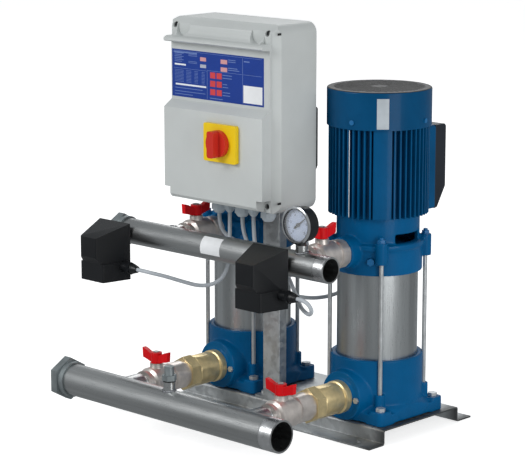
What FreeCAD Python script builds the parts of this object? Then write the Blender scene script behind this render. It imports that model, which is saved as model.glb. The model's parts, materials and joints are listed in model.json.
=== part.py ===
import FreeCAD, Part
import math
import os

V = FreeCAD.Vector
X = V(1, 0, 0)
Y = V(0, 1, 0)
Z = V(0, 0, 1)
BACK = Y
FRONT = V(0, -1, 0)
DOWN = V(0, 0, -1)

# All sizes are in millimetres. X runs from the left pump to the right pump, Y to the back, Z up.
# The origin is on the floor, at the centre of the base plate.

# Clearances
FIT = 0.1
RUN = 0.05
GAP = 0.3

# Base plate, one folded sheet with a hat section
BASE_LENGTH = 523.0
BASE_DEPTH = 216.0
BASE_HEIGHT = 29.5
BASE_SHEET = 3.0
BASE_LIP = 40.0
BASE_BEND = 2.0
BASE_OVERHANG = 100.0
ANCHOR_INSET = 41.5
ANCHOR_HOLE_R = 4.5

# Pump casting at the foot
FOOT_SIDE = 180.0
FOOT_SETBACK = 5.0
FOOT_CORNER = 10.0
FOOT_PLATE = 20.0
FOOT_HOLLOW = 1.5
FOOT_ARCH = 2.0
LUG_HEIGHT = 26.5
LUG_R = 19.0
FOOT_BOLT_OFFSET = 75.0
FOOT_BOLT_R = 5.0
FOOT_BOLT_FLATS = 16.0
FOOT_BOLT_HEAD = 6.4
WELD_NUT_HEIGHT = 8.0
BARREL_HEIGHT = 115.5
BARREL_R = 86.0
SHOULDER_R = 100.0
SHOULDER_HEIGHT = 31.0
CASTING_WALL = 18.0
CASTING_FLOOR = 22.0
PORT_REACH = 104.0
SUCTION_RISE = 47.0
SUCTION_BOSS_R = 32.0
SUCTION_PASSAGE_R = 19.0
BULGE_R = 46.0
BULGE_FLARE = 6.0
BULGE_SHY = 3.5
BULGE_REACH = 110.0
PILLAR_R = 8.5
PILLAR_HEIGHT = 53.5
SPIDER_RISE = 69.0
SPIDER_THICK = 8.0
SPIDER_HOLE_R = 14.0
SPIDER_HOLE_PLACE = 43.0
BUSH_R = 13.0
BUSH_HEIGHT = 14.0

# Stainless jacket and tie rods
JACKET_R = 75.2
JACKET_WALL = 1.5
JACKET_VISIBLE = 159.0
JACKET_SEAT = 5.0
ROD_OFFSET = 62.5
ROD_R = 4.0
ROD_ENGAGE = 12.0
ROD_NUT_FLATS = 13.0
ROD_NUT_HEIGHT = 6.5
ROD_STICKOUT = 3.5

# Head casting with the motor lantern
BOWL_HEIGHT = 48.0
BOWL_R = 82.5
BOWL_RIM_R = 86.0
BOWL_RIM_HEIGHT = 8.0
HEAD_HEIGHT = 106.0
HEAD_WALL_THICK = 10.0
LANTERN_R = 77.0
LANTERN_WALL = 9.0
DISCHARGE_RISE = 42.5
DISCHARGE_BOSS_R = 29.0
HEAD_LUG_R = 11.0
HEAD_LUG_LOW = 23.5
HEAD_LUG_HIGH = 63.5
WINDOW_WIDTH = 64.0
WINDOW_HEIGHT = 17.0
SEAL_R = 16.0
SEAL_HEIGHT = 16.0
PLUG_R = 5.0
PLUG_HEAD_R = 7.0
PLUG_HEAD = 5.0
VENT_ANGLE = 32.0
VENT_RISE = 27.0
DRAIN_SIDE = 38.5
DRAIN_DROP = 2.0

# Hydraulic stages and shafts
STAGES = 5
STAGE_WALL = 2.0
STAGE_FLOOR = 2.5
STAGE_EYE_R = 20.0
IMPELLER_R = 56.0
IMPELLER_HUB_R = 14.0
IMPELLER_VANES = 6
IMPELLER_WIDTH = 8.0
IMPELLER_DISC = 2.0
IMPELLER_CLEAR = 6.0
PUMP_SHAFT_R = 8.0
PUMP_SHAFT_LOW = 62.0
COUPLING_R = 22.0
COUPLING_LENGTH = 42.0
COUPLING_RISE = 52.0
COUPLING_SPLIT = 20.5
MOTOR_SHAFT_R = 12.0
ROTOR_R = 45.0

# Motor
FLANGE_R = 77.5
FLANGE_HEIGHT = 15.0
SPIGOT_HEIGHT = 4.0
SKIRT_GAP = 1.0
FRAME_BORE_R = 76.0
FRAME_CORE_R = 80.5
FIN_R = 93.0
FIN_THICK = 3.0
FIN_COUNT = 52
PAD_HALF_ANGLE = 10.0
MOTOR_HEIGHT = 164.0
COVER_OVERLAP = 6.0
SHIELD_R = 79.0
SHIELD_HEIGHT = 14.0
TAB_WIDTH = 14.0
TAB_TURN = 10.0
BEARING_R = 26.0
BEARING_HEIGHT = 15.0
STATOR_BORE_R = 46.0
STATOR_LOW = 40.0
STATOR_LENGTH = 90.0
WINDING_HEIGHT = 12.0
COVER_R = 96.5
COVER_HEIGHT = 69.0
COVER_WALL = 1.5
COVER_ROUND = 3.0
COVER_SCREW_R = 2.5
COVER_SCREW_HEAD_R = 4.5
SLOT_WIDTH = 4.5
SLOT_PITCH = 9.0
SLOT_FIELD_R = 84.0
SLOT_CENTRE_R = 14.0
FAN_R = 84.0
FAN_HUB_R = 20.0
FAN_HEIGHT = 24.0
FAN_BLADES = 8
FAN_SHEET = 2.5
FAN_RISE = 4.0

# Terminal box on the back of the motor
TERMINAL_HALF = 47.0
TERMINAL_STANDOFF = 3.5
TERMINAL_DEPTH = 23.0
TERMINAL_LOW = -3.5
TERMINAL_HIGH = 154.5
TERMINAL_WALL = 4.0
LID_DEPTH = 31.0
LID_WALL = 3.0
LID_BEVEL = 40.0
LID_SHELF = 8.0
LID_RISE = 2.0
LID_ROUND = 6.0

# Valves, nipples and check valves
THREAD_R = 16.6
THREAD_DEPTH = 14.0
NIPPLE_BORE_R = 12.5
STUB_R = 22.0
SUCTION_STUB = 29.0
DISCHARGE_STUB = 5.85
NIPPLE_SHOW = 10.0
VALVE_R = 28.0
VALVE_END_R = 26.5
VALVE_COLLAR_R = 24.5
VALVE_FLATS = 50.0
BALL_R = 17.9
BALL_FLAT = 15.5
CAVITY_R = 18.4
SEAT_R = 17.0
SEAT_FACE = 12.6
SEAT_END = 18.5
STEM_R = 5.0
BONNET_R = 12.5
BONNET_RISE = 35.0
HANDLE_HUB_R = 10.5
HANDLE_LENGTH = 65.0
HANDLE_THICK = 9.0
HANDLE_HEIGHT = 20.0
HANDLE_TIP = 5.0
SUCTION_VALVE_LENGTH = 101.9
SUCTION_VALVE_STEM = 34.0
DISCHARGE_VALVE_LENGTH = 83.0
DISCHARGE_VALVE_STEM = 32.0
CHECK_LENGTH = 90.5
CHECK_FLATS = 58.0
CHECK_HEX = 22.0
CHECK_BODY_R = 29.5
CHECK_RING_R = 31.0
CHECK_RING = 14.0
CHECK_SPIGOT_R = 20.5
CHECK_CHAMBER_R = 23.0
CHECK_SEAT = 28.0
CHECK_SEAT_R = 14.0
CHECK_SPIDER = 70.0
CHECK_SPIDER_THICK = 5.0
DISC_R = 18.0
DISC_THICK = 5.0
DISC_STEM_R = 3.95
SPRING_R = 8.0
SPRING_WIRE_R = 0.8
SPRING_TURNS = 5

# Header pipes
SUCTION_PIPE_R = 30.15
SUCTION_PIPE_WALL = 3.65
SUCTION_PAST_LEFT = 134.5
SUCTION_PAST_RIGHT = 98.5
SUCTION_THREAD = 30.0
SUCTION_CAP_FLATS = 72.0
DISCHARGE_PIPE_R = 24.15
DISCHARGE_PIPE_WALL = 3.25
DISCHARGE_PAST_LEFT = 128.5
DISCHARGE_PAST_RIGHT = 86.0
DISCHARGE_THREAD = 25.0
THREAD_STEP = 0.3
DISCHARGE_CAP_FLATS = 55.0
CAP_GRIP = 18.0
CAP_COLLAR = 12.0
CAP_END = 6.0
CAP_COLLAR_WALL = 3.5
TOP_PLUG_SHIFT = 6.0
TOP_STUB_R = 10.7
TOP_STUB_BORE_R = 8.2
TOP_STUB_HEIGHT = 16.0
TOP_PLUG_FLATS = 24.0
TOP_PLUG_HEX = 10.0
TOP_PLUG_NECK_R = 9.0
TOP_PLUG_HEIGHT = 26.0
TOP_SEAL_THICK = 2.5

# Gauge
GAUGE_PAST_PUMP = 17.0
GAUGE_RISE = 73.5
GAUGE_SHIFT = 2.0
GAUGE_DEPTH = 30.0
GAUGE_CASE_R = 31.5
GAUGE_BEZEL_R = 34.0
GAUGE_BEZEL = 8.0
GAUGE_WALL = 2.0
GAUGE_DIAL_SET = 8.5
GAUGE_GLASS_SET = 2.5
GAUGE_GLASS_THICK = 2.0
GAUGE_STEM_R = 6.5
GAUGE_SOCKET_R = 11.0
GAUGE_SOCKET_HEIGHT = 12.0
GAUGE_HEX_FLATS = 14.0
SPINDLE_R = 1.5
MOVEMENT_R = 9.0
POINTER_LENGTH = 21.0
POINTER_TAIL = 9.0
POINTER_WIDTH = 2.6
POINTER_ANGLE = 52.0

# Pressure switches
SWITCH_BEFORE_RIGHT = 31.8
SWITCH_PAST_LEFT = 119.5
SWITCH_DROP_LEFT = 10.0
SWITCH_BACK_GAP = 4.0
SWITCH_WIDTH = 85.0
SWITCH_NOSE_WIDTH = 43.0
SWITCH_LENGTH = 70.0
SWITCH_LOW_LENGTH = 61.0
SWITCH_LOW_WIDTH = 63.0
SWITCH_TOP = 31.5
SWITCH_TOP_FRONT = 9.5
SWITCH_STEP_HIGH = 28.5
SWITCH_STEP_LOW = 41.0
SWITCH_BOTTOM = 76.5
SWITCH_WALL = 2.5
SWITCH_ROUND = 4.0
SWITCH_PLATE = 3.0
SWITCH_BOSS_R = 10.0
SWITCH_NIPPLE_R = 7.0
SWITCH_NIPPLE_SHIFT = 25.5
SWITCH_GLAND_BACK = 15.0
SWITCH_GLAND_DROP = 50.0

# Post
POST_CLEAR = 2.5
POST_WIDTH = 43.0
POST_DEPTH = 20.0
POST_SHEET = 3.0
POST_SETBACK = 3.0
POST_TOP = 735.0
POST_FOOT_LENGTH = 88.0
POST_FOOT_DEPTH = 38.0
POST_FOOT_THICK = 4.0
POST_BOLT_SPACING = 66.0
RAIL_LENGTH = 120.0
RAIL_WIDTH = 24.0
RAIL_THICK = 6.0
POST_BOLT_R = 4.0
POST_BOLT_FLATS = 13.0
POST_BOLT_HEAD = 5.3

# Control panel
PANEL_WIDTH = 277.5
PANEL_REACH_LEFT = 158.0
PANEL_LOW = 420.0
PANEL_HIGH = 763.0
PANEL_BOX_DEPTH = 89.0
PANEL_ROUND = 20.0
PANEL_WALL = 3.0
COVER_DEPTH = 41.0
COVER_BEVEL = 12.5
COVER_SHOULDER = 17.0
COVER_RIM = 4.0
COVER_CHAMFER = 4.0
LABEL_LOW = 610.0
LABEL_HIGH = 718.0
LABEL_STEP = 597.0
LABEL_SET = 20.0
VISOR_SET = 18.0
VISOR_TOP = 750.0
CORNER_CUT = 27.0
TOP_CORNER_CUT = 34.0
CORNER_FLANGE = 19.0
SCOOP_PLACE = 44.0
SCOOP_RISE = 18.0
SCOOP_R = 17.0
SCOOP_DEPTH = 15.0
COVER_BOSS = 17.0
COVER_SCREW_SEAT = 12.0
PILLAR_SCREW_R = 8.0
PANEL_SCREW_R = 2.5
PANEL_SCREW_HEAD_R = 5.0
COVER_HOLE_INSET = 21.0
COVER_HOLE_RISE = 15.0
SWITCH_PLATE_WIDTH = 82.0
SWITCH_PLATE_TALL = 70.0
SWITCH_PLATE_THICK = 9.0
SWITCH_PLATE_PLACE = 166.0
SWITCH_PLATE_Z = 544.0
KNOB_R = 25.0
KNOB_DISC = 10.0
KNOB_GRIP = 14.0
KNOB_GRIP_WIDTH = 17.0
KNOB_SHAFT_R = 8.0
PLATE_INSET = 25.0
BOARD_GAP = 3.0
BOARD_THICK = 2.0
BOARD_STANDOFF = 8.0
SWITCH_BLOCK_FRONT = 65.0
SWITCH_BLOCK_SIDE = 50.0
BOARD_INSET = 34.0
# Devices on the mounting plate: place from the panel's left, width, depth, height above its foot, how tall
DEVICES = [(39, 46, 78, 212, 80), (91, 46, 78, 212, 80), (39, 92, 62, 92, 76), (34, 145, 40, 42, 26),
           (199, 48, 66, 182, 90)]

# Cables and glands
CABLE_R = 3.75
GLAND_Y = -157.0
GLAND_LARGE_R = 14.0
GLAND_SMALL_R = 10.5
GLAND_LENGTH = 28.0
GLAND_SMALL_LENGTH = 24.0
GLAND_THREAD = 8.0
GLAND_NUT = 9.0
GLAND_SHOULDER = 3.0
SUPPLY_BORE_R = 6.5
GLAND_PLACES = [73.0, 101.0, 134.0, 163.0]
SUPPLY_GLAND_PLACE = 201.0
SWITCH_GLAND_R = 9.5
SWITCH_GLAND_LENGTH = 42.0
GLAND_RUN = 20.0

# Cable routes between their glands: how far each inner point lies off the straight line between the mouths,
# with the points evenly shared along that line
LEFT_SWITCH_CABLE = [(16, 11, -37), (33, 19, -57), (50, 23, -74), (54, 22, -83), (46, 14, -77),
                     (35, 3, -55), (26, -7, -32), (20, -10, -14)]
RIGHT_SWITCH_CABLE = [(-22, 21, -36), (-31, 42, -39), (-24, 61, -37), (-8, 72, -36), (8, 73, -41),
                      (21, 62, -49), (33, 46, -55), (45, 27, -58), (56, 8, -55), (68, -4, -47),
                      (59, -6, -24)]
RIGHT_MOTOR_CABLE = [(-9, -13, -45), (-15, -23, -73), (-16, -30, -102), (-12, -30, -129), (-11, -24, -147),
                     (-19, -14, -156), (-24, -3, -160), (-28, 11, -158), (-28, 24, -146), (-23, 37, -124),
                     (-14, 44, -95), (-1, 42, -68), (9, 23, -44)]
LEFT_MOTOR_CABLE = [(14, -19, -55), (35, -32, -87), (58, -32, -107), (76, -18, -115), (83, 0, -117),
                    (77, 18, -114), (61, 34, -105), (42, 47, -92), (22, 55, -76), (3, 49, -59),
                    (-6, 25, -42)]

# Section of the visor's brim: how far each point lies behind its tip and above the label's recess
VISOR_BRIM = [(3, 1), (0, 3), (0, 7), (4, 9.5), (11, 12), (17, 17), (21.5, 25)]

# Places that follow from the sizes above
BASE_TOP = BASE_HEIGHT
ANCHOR_SPACING = BASE_LENGTH - 2 * ANCHOR_INSET
PUMP_SPACING = BASE_LENGTH - 2 * BASE_OVERHANG
PUMP_X = PUMP_SPACING / 2
POST_X = FOOT_SIDE / 2 - PUMP_X + POST_CLEAR + POST_FOOT_LENGTH / 2
PANEL_LEFT = POST_X - PANEL_REACH_LEFT
PANEL_RIGHT = PANEL_LEFT + PANEL_WIDTH
SWITCH_PLATE_X = PANEL_LEFT + SWITCH_PLATE_PLACE
TERMINAL_SEAT = FRAME_CORE_R + TERMINAL_STANDOFF
SUCTION_LEFT = PUMP_X + SUCTION_PAST_LEFT
SUCTION_RIGHT = PUMP_X + SUCTION_PAST_RIGHT
DISCHARGE_LEFT = PUMP_X + DISCHARGE_PAST_LEFT
DISCHARGE_RIGHT = PUMP_X + DISCHARGE_PAST_RIGHT
TOP_PLUG_X = POST_X + TOP_PLUG_SHIFT
GAUGE_X = PUMP_X + GAUGE_PAST_PUMP
SWITCH_X_RIGHT = PUMP_X - SWITCH_BEFORE_RIGHT
SWITCH_X_LEFT = -PUMP_X - SWITCH_PAST_LEFT
PUMP_Y = FOOT_SIDE / 2 - BASE_DEPTH / 2 + FOOT_SETBACK
PORT_Y = PUMP_Y - PORT_REACH
SUCTION_Z = BASE_TOP + SUCTION_RISE
CASING_TOP = BASE_TOP + BARREL_HEIGHT
SEAT_LOW = CASING_TOP - JACKET_SEAT
HEAD_BOTTOM = CASING_TOP + JACKET_VISIBLE
SEAT_HIGH = HEAD_BOTTOM + JACKET_SEAT
HEAD_TOP = HEAD_BOTTOM + HEAD_HEIGHT
DISCHARGE_Z = HEAD_BOTTOM + DISCHARGE_RISE
BOWL_TOP = HEAD_BOTTOM + BOWL_HEIGHT
COVER_LOW = HEAD_TOP + MOTOR_HEIGHT
COVER_TOP = COVER_LOW + COVER_HEIGHT
FRAME_LOW = HEAD_TOP + FLANGE_HEIGHT
FRAME_HIGH = COVER_LOW + COVER_OVERLAP
SHIELD_TOP = FRAME_HIGH + SHIELD_HEIGHT
CAVITY_WALL_R = BARREL_R - CASTING_WALL
JACKET_BORE_R = JACKET_R - JACKET_WALL
CHECK_Y = PORT_Y - CHECK_LENGTH
SUCTION_VALVE_Y = CHECK_Y - SUCTION_VALVE_LENGTH
SUCTION_PIPE_Y = SUCTION_VALVE_Y - NIPPLE_SHOW - SUCTION_STUB - SUCTION_PIPE_R
DISCHARGE_VALVE_Y = PORT_Y - DISCHARGE_VALVE_LENGTH
DISCHARGE_PIPE_Y = DISCHARGE_VALVE_Y - NIPPLE_SHOW - DISCHARGE_STUB - DISCHARGE_PIPE_R
POST_Y = POST_SETBACK - BASE_DEPTH / 2
PANEL_BACK_Y = POST_Y - RAIL_THICK
PANEL_SEAM_Y = PANEL_BACK_Y - PANEL_BOX_DEPTH
PANEL_FACE_Y = PANEL_SEAM_Y - COVER_DEPTH
GAUGE_Z = DISCHARGE_Z + GAUGE_RISE
SWITCH_Y = DISCHARGE_PIPE_Y - DISCHARGE_PIPE_R - SWITCH_BACK_GAP


def block(x0, x1, y0, y1, z0, z1):
    return Part.makeBox(x1 - x0, y1 - y0, z1 - z0, V(x0, y0, z0))


def rod(radius, start, direction, length):
    return Part.makeCylinder(radius, length, start, direction)


def tube(outer, inner, start, direction, length):
    return rod(outer, start, direction, length).cut(rod(inner, start, direction, length))


def polygon(points):
    return Part.Face(Part.makePolygon(points + [points[0]]))


def turned(points, start, direction):
    """Revolve a profile of (radius, distance along the axis) points about an axis."""
    face = polygon([V(radius, 0, along) for radius, along in points])
    solid = face.revolve(V(0, 0, 0), Z, 360)
    solid.Placement = FreeCAD.Placement(start, FreeCAD.Rotation(Z, direction))
    return solid


def hexagon(flats, start, direction, length, sides=6, turn=0.0):
    """A prism with the given number of sides and distance across the flats."""
    radius = flats / 2 / math.cos(math.pi / sides)
    angles = [turn + 2 * math.pi * i / sides for i in range(sides)]
    face = polygon([V(radius * math.cos(a), radius * math.sin(a), 0) for a in angles])
    solid = face.extrude(V(0, 0, length))
    solid.Placement = FreeCAD.Placement(start, FreeCAD.Rotation(Z, direction))
    return solid


def fused(shapes):
    return shapes[0].multiFuse(shapes[1:]).removeSplitter()


def edges_along(shape, direction):
    chosen = []
    for edge in shape.Edges:
        if isinstance(edge.Curve, Part.Line) and abs(edge.Curve.Direction.dot(direction)) > 0.999:
            chosen.append(edge)
    return chosen


def rounded_block(x0, x1, y0, y1, z0, z1, radius, direction):
    solid = block(x0, x1, y0, y1, z0, z1)
    return solid.makeFillet(radius, edges_along(solid, direction))


def spun(shape, angle, about=V(0, 0, 0), axis=Z):
    copy = shape.copy()
    copy.rotate(about, axis, angle)
    return copy


def moved(shapes, offset):
    copies = []
    for shape in shapes:
        copy = shape.copy()
        copy.translate(offset)
        copies.append(copy)
    return copies


def corners(offset):
    return [V(sx * offset, sy * offset, 0) for sx in (-1, 1) for sy in (-1, 1)]


def solids_of(shape):
    return list(shape.Solids)


def base_plate():
    half = BASE_DEPTH / 2
    edge = half + BASE_LIP
    inner = half - BASE_SHEET
    top = BASE_HEIGHT - BASE_SHEET
    right = [(edge, 0), (edge, BASE_SHEET), (half, BASE_SHEET), (half, BASE_HEIGHT)]
    left = [(-half, BASE_HEIGHT), (-half, BASE_SHEET), (-edge, BASE_SHEET), (-edge, 0)]
    under = [(-inner, 0), (-inner, top), (inner, top), (inner, 0)]
    start = -BASE_LENGTH / 2
    plate = polygon([V(start, y, z) for y, z in right + left + under]).extrude(V(BASE_LENGTH, 0, 0))
    inside = []
    outside = []
    for edge_line in edges_along(plate, X):
        point = edge_line.Vertexes[0].Point
        height = point.z
        side = abs(point.y)
        if abs(side - inner) < 0.01 and abs(height - top) < 0.01:
            inside.append(edge_line)
        if abs(side - half) < 0.01 and abs(height - BASE_SHEET) < 0.01:
            inside.append(edge_line)
        if abs(side - half) < 0.01 and abs(height - BASE_HEIGHT) < 0.01:
            outside.append(edge_line)
        if abs(side - inner) < 0.01 and height < 0.01:
            outside.append(edge_line)
    plate = plate.makeFillet(BASE_BEND, inside)
    outer_bend = BASE_BEND + BASE_SHEET
    outside = [e for e in edges_along(plate, X)
               if any(abs(e.Vertexes[0].Point.y - o.Vertexes[0].Point.y) < 0.01
                      and abs(e.Vertexes[0].Point.z - o.Vertexes[0].Point.z) < 0.01 for o in outside)]
    plate = plate.makeFillet(outer_bend, outside)
    lip_middle = half + BASE_LIP / 2
    for sx in (-1, 1):
        for sy in (-1, 1):
            place = V(sx * ANCHOR_SPACING / 2, sy * lip_middle, -1)
            plate = plate.cut(rod(ANCHOR_HOLE_R, place, Z, BASE_SHEET + 2))
            for offset in corners(FOOT_BOLT_OFFSET):
                if offset.y * sy > 0:
                    place = V(sx * PUMP_X + offset.x, PUMP_Y + offset.y, top - 1)
                    plate = plate.cut(rod(FOOT_BOLT_R + 0.5, place, Z, BASE_SHEET + 2))
        place = V(POST_X + sx * POST_BOLT_SPACING / 2, post_foot_middle(), top - 1)
        plate = plate.cut(rod(POST_BOLT_R + 0.5, place, Z, BASE_SHEET + 2))
    return [plate]


def post_foot_middle():
    return POST_Y + POST_FOOT_DEPTH / 2


def upright_post():
    left = POST_X - POST_WIDTH / 2
    right = POST_X + POST_WIDTH / 2
    front = POST_Y
    foot_top = BASE_TOP + POST_FOOT_THICK
    channel = block(left, right, front, front + POST_DEPTH, foot_top, POST_TOP)
    hollow = block(left + POST_SHEET, right - POST_SHEET, front + POST_SHEET, front + POST_DEPTH + 1,
                   foot_top - 1, POST_TOP + 1)
    channel = channel.makeFillet(POST_SHEET, [e for e in edges_along(channel, Z)
                                              if e.Vertexes[0].Point.y < front + 1])
    channel = channel.cut(hollow)
    half = POST_FOOT_LENGTH / 2
    foot = rounded_block(POST_X - half, POST_X + half, front, front + POST_FOOT_DEPTH, BASE_TOP, foot_top,
                         POST_FOOT_THICK, Z)
    rails = []
    for height in panel_screw_heights():
        rails.append(block(POST_X - RAIL_LENGTH / 2, POST_X + RAIL_LENGTH / 2, PANEL_BACK_Y, front,
                           height - RAIL_WIDTH / 2, height + RAIL_WIDTH / 2))
    post = fused([channel, foot] + rails)
    for side in (-1, 1):
        place = V(POST_X + side * POST_BOLT_SPACING / 2, post_foot_middle(), BASE_TOP - 1)
        post = post.cut(rod(POST_BOLT_R + 0.5, place, Z, POST_FOOT_THICK + 2))
    for height in panel_screw_heights():
        start = V(POST_X, PANEL_BACK_Y - 1, height)
        post = post.cut(rod(POST_BOLT_R + FIT, start, BACK, RAIL_THICK + POST_SHEET + 2))
    return [post]


def panel_screw_heights():
    return [PANEL_LOW + 45.0, POST_TOP - 30.0]


def hex_bolt(radius, flats, head, seat, direction, reach):
    """A bolt whose head sits on the seat point, with its shank going the other way."""
    shank = rod(radius, seat, direction * -1, reach)
    return hexagon(flats, seat, direction, head).fuse(shank).removeSplitter()


def weld_nut(radius, flats, height, top):
    nut = hexagon(flats, top, DOWN, height)
    return nut.cut(rod(radius + FIT, top, DOWN, height))


def frame_bolts():
    solids = []
    under = BASE_HEIGHT - BASE_SHEET
    for side in (-1, 1):
        for offset in corners(FOOT_BOLT_OFFSET):
            place = V(side * PUMP_X, PUMP_Y, 0) + offset
            seat = place + V(0, 0, BASE_TOP + LUG_HEIGHT)
            reach = LUG_HEIGHT + BASE_SHEET + WELD_NUT_HEIGHT
            solids.append(hex_bolt(FOOT_BOLT_R, FOOT_BOLT_FLATS, FOOT_BOLT_HEAD, seat, Z, reach))
            nut_top = place + V(0, 0, under)
            solids.append(weld_nut(FOOT_BOLT_R, FOOT_BOLT_FLATS, WELD_NUT_HEIGHT, nut_top))
        place = V(POST_X + side * POST_BOLT_SPACING / 2, post_foot_middle(), 0)
        seat = place + V(0, 0, BASE_TOP + POST_FOOT_THICK)
        reach = POST_FOOT_THICK + BASE_SHEET + ROD_NUT_HEIGHT
        solids.append(hex_bolt(POST_BOLT_R, POST_BOLT_FLATS, POST_BOLT_HEAD, seat, Z, reach))
        solids.append(weld_nut(POST_BOLT_R, POST_BOLT_FLATS, ROD_NUT_HEIGHT, place + V(0, 0, under)))
        solids.append(vent_plug(side))
        solids.append(drain_plug(side))
        for turn in range(4):
            solids.append(cover_screw(side, TAB_TURN + 90 * turn))
    for height in panel_screw_heights():
        seat = V(POST_X, PANEL_BACK_Y - PANEL_WALL, height)
        reach = PANEL_WALL + RAIL_THICK + POST_SHEET + ROD_NUT_HEIGHT
        solids.append(hex_bolt(POST_BOLT_R, POST_BOLT_FLATS, POST_BOLT_HEAD, seat, FRONT, reach))
        nut = hexagon(POST_BOLT_FLATS, V(POST_X, POST_Y + POST_SHEET, height), BACK, ROD_NUT_HEIGHT)
        hole = rod(POST_BOLT_R + FIT, V(POST_X, PANEL_BACK_Y, height), BACK, 30)
        solids.append(nut.cut(hole))
    return solids


def radial(angle):
    """The direction that leans by an angle from straight ahead towards the right."""
    turn = math.radians(angle)
    return V(math.sin(turn), -math.cos(turn), 0)


def vent_plug(side):
    out = radial(VENT_ANGLE)
    centre = V(side * PUMP_X, PUMP_Y, HEAD_BOTTOM + VENT_RISE)
    seat = centre + out * BOWL_R
    return hex_bolt(PLUG_R, 2 * PLUG_HEAD_R * 0.9, PLUG_HEAD, seat, out, HEAD_WALL_THICK + 1)


def drain_plug(side):
    face = PUMP_Y - PORT_REACH + BULGE_SHY
    seat = V(side * PUMP_X + DRAIN_SIDE, face, SUCTION_Z - DRAIN_DROP)
    return hex_bolt(PLUG_R - 1, 10.0, PLUG_HEAD - 1, seat, FRONT, 8.0)


def cover_screw(side, angle):
    out = radial(angle)
    seat = V(side * PUMP_X, PUMP_Y, screw_height()) + out * COVER_R
    head = rod(COVER_SCREW_HEAD_R, seat, out, 2.0)
    return head.fuse(rod(COVER_SCREW_R, seat - out * 12, out, 12)).removeSplitter()


def screw_height():
    return FRAME_HIGH + SHIELD_HEIGHT / 2


def foot_outline(height):
    half = FOOT_SIDE / 2
    inner = half - FOOT_HOLLOW
    ring = [V(half, -half, 0), V(half, half, 0), V(-half, half, 0), V(-half, -half, 0)]
    middles = [V(inner, 0, 0), V(0, inner, 0), V(-inner, 0, 0), V(0, -inner, 0)]
    arcs = [Part.Arc(ring[i], middles[i], ring[(i + 1) % 4]).toShape() for i in range(4)]
    solid = Part.Face(Part.Wire(arcs)).extrude(V(0, 0, height))
    solid = solid.makeFillet(FOOT_CORNER, edges_along(solid, Z))
    solid.translate(V(0, 0, BASE_TOP))
    return solid


def pump_base(side):
    """Casting with a square foot, the suction port at the front and a rim that takes the jacket."""
    foot_top = BASE_TOP + FOOT_PLATE
    shoulder_top = BASE_TOP + SHOULDER_HEIGHT
    arch_top = BASE_TOP + FOOT_ARCH
    half = FOOT_SIDE / 2
    barrel = turned([(0, arch_top), (SHOULDER_R - 6, arch_top), (SHOULDER_R, foot_top),
                     (BARREL_R, shoulder_top), (BARREL_R, CASING_TOP), (0, CASING_TOP)], V(0, 0, 0), Z)
    clip = block(-half, half, -half, half, BASE_TOP, CASING_TOP)
    parts = [foot_outline(FOOT_PLATE), barrel.common(clip)]
    axis = V(0, 0, SUCTION_Z)
    bulge_length = PORT_REACH - BULGE_SHY - CAVITY_WALL_R + 8
    bulge_start = axis + FRONT * (CAVITY_WALL_R - 8)
    bulge = Part.makeCone(BULGE_R + BULGE_FLARE, BULGE_R, bulge_length, bulge_start, FRONT)
    parts.append(bulge.common(block(-half, half, -BULGE_REACH, 0, arch_top, CASING_TOP)))
    parts.append(rod(SUCTION_BOSS_R, bulge_start, FRONT, PORT_REACH - CAVITY_WALL_R + 8))
    for offset in corners(ROD_OFFSET):
        parts.append(rod(PILLAR_R, offset + V(0, 0, arch_top), Z, PILLAR_HEIGHT - FOOT_ARCH))
    for offset in corners(FOOT_BOLT_OFFSET):
        lug = rod(LUG_R, offset + V(0, 0, BASE_TOP), Z, LUG_HEIGHT)
        parts.append(lug.common(foot_outline(LUG_HEIGHT)))
    body = fused(parts)
    cavity = turned([(0, BASE_TOP + CASTING_FLOOR), (CAVITY_WALL_R, BASE_TOP + CASTING_FLOOR),
                     (CAVITY_WALL_R, SEAT_LOW), (JACKET_R + FIT, SEAT_LOW),
                     (JACKET_R + FIT, CASING_TOP + 1), (0, CASING_TOP + 1)], V(0, 0, 0), Z)
    body = body.cut(cavity)
    body = body.cut(rod(SUCTION_PASSAGE_R, axis, FRONT, PORT_REACH + 1))
    thread_seat = axis + FRONT * (PORT_REACH - THREAD_DEPTH)
    body = body.cut(rod(CHECK_SPIGOT_R + FIT, thread_seat, FRONT, THREAD_DEPTH + 1))
    spider_low = BASE_TOP + SPIDER_RISE
    spider = rod(CAVITY_WALL_R + 0.5, V(0, 0, spider_low), Z, SPIDER_THICK)
    hub = rod(BUSH_R + 5, V(0, 0, spider_low - 3), Z, BUSH_HEIGHT)
    for turn in range(4):
        angle = math.radians(90 * turn)
        place = V(SPIDER_HOLE_PLACE * math.cos(angle), SPIDER_HOLE_PLACE * math.sin(angle), spider_low - 1)
        spider = spider.cut(rod(SPIDER_HOLE_R, place, Z, SPIDER_THICK + 2))
    body = fused([body, spider, hub])
    body = body.cut(rod(BUSH_R + FIT, V(0, 0, spider_low - 4), Z, BUSH_HEIGHT + 2))
    for offset in corners(ROD_OFFSET):
        top = offset + V(0, 0, BASE_TOP + PILLAR_HEIGHT)
        body = body.cut(rod(ROD_R + FIT, top, DOWN, ROD_ENGAGE))
        body = body.cut(rod(ROD_R + 0.8, top, Z, CASING_TOP))
    for offset in corners(FOOT_BOLT_OFFSET):
        body = body.cut(rod(FOOT_BOLT_R + 0.5, offset + V(0, 0, BASE_TOP - 1), Z, LUG_HEIGHT + 2))
    gap = FOOT_SIDE - 4 * LUG_R
    for arch in (block(-gap / 2, gap / 2, -FOOT_SIDE, FOOT_SIDE, BASE_TOP - 1, arch_top),
                 block(-FOOT_SIDE, FOOT_SIDE, -gap / 2, gap / 2, BASE_TOP - 1, arch_top)):
        body = body.cut(arch)
    seat = V(DRAIN_SIDE, -PORT_REACH + BULGE_SHY, SUCTION_Z - DRAIN_DROP)
    body = body.cut(rod(PLUG_R - 1 + FIT, seat + FRONT, BACK, 10))
    return moved([body], V(side * PUMP_X, PUMP_Y, 0))


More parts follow.
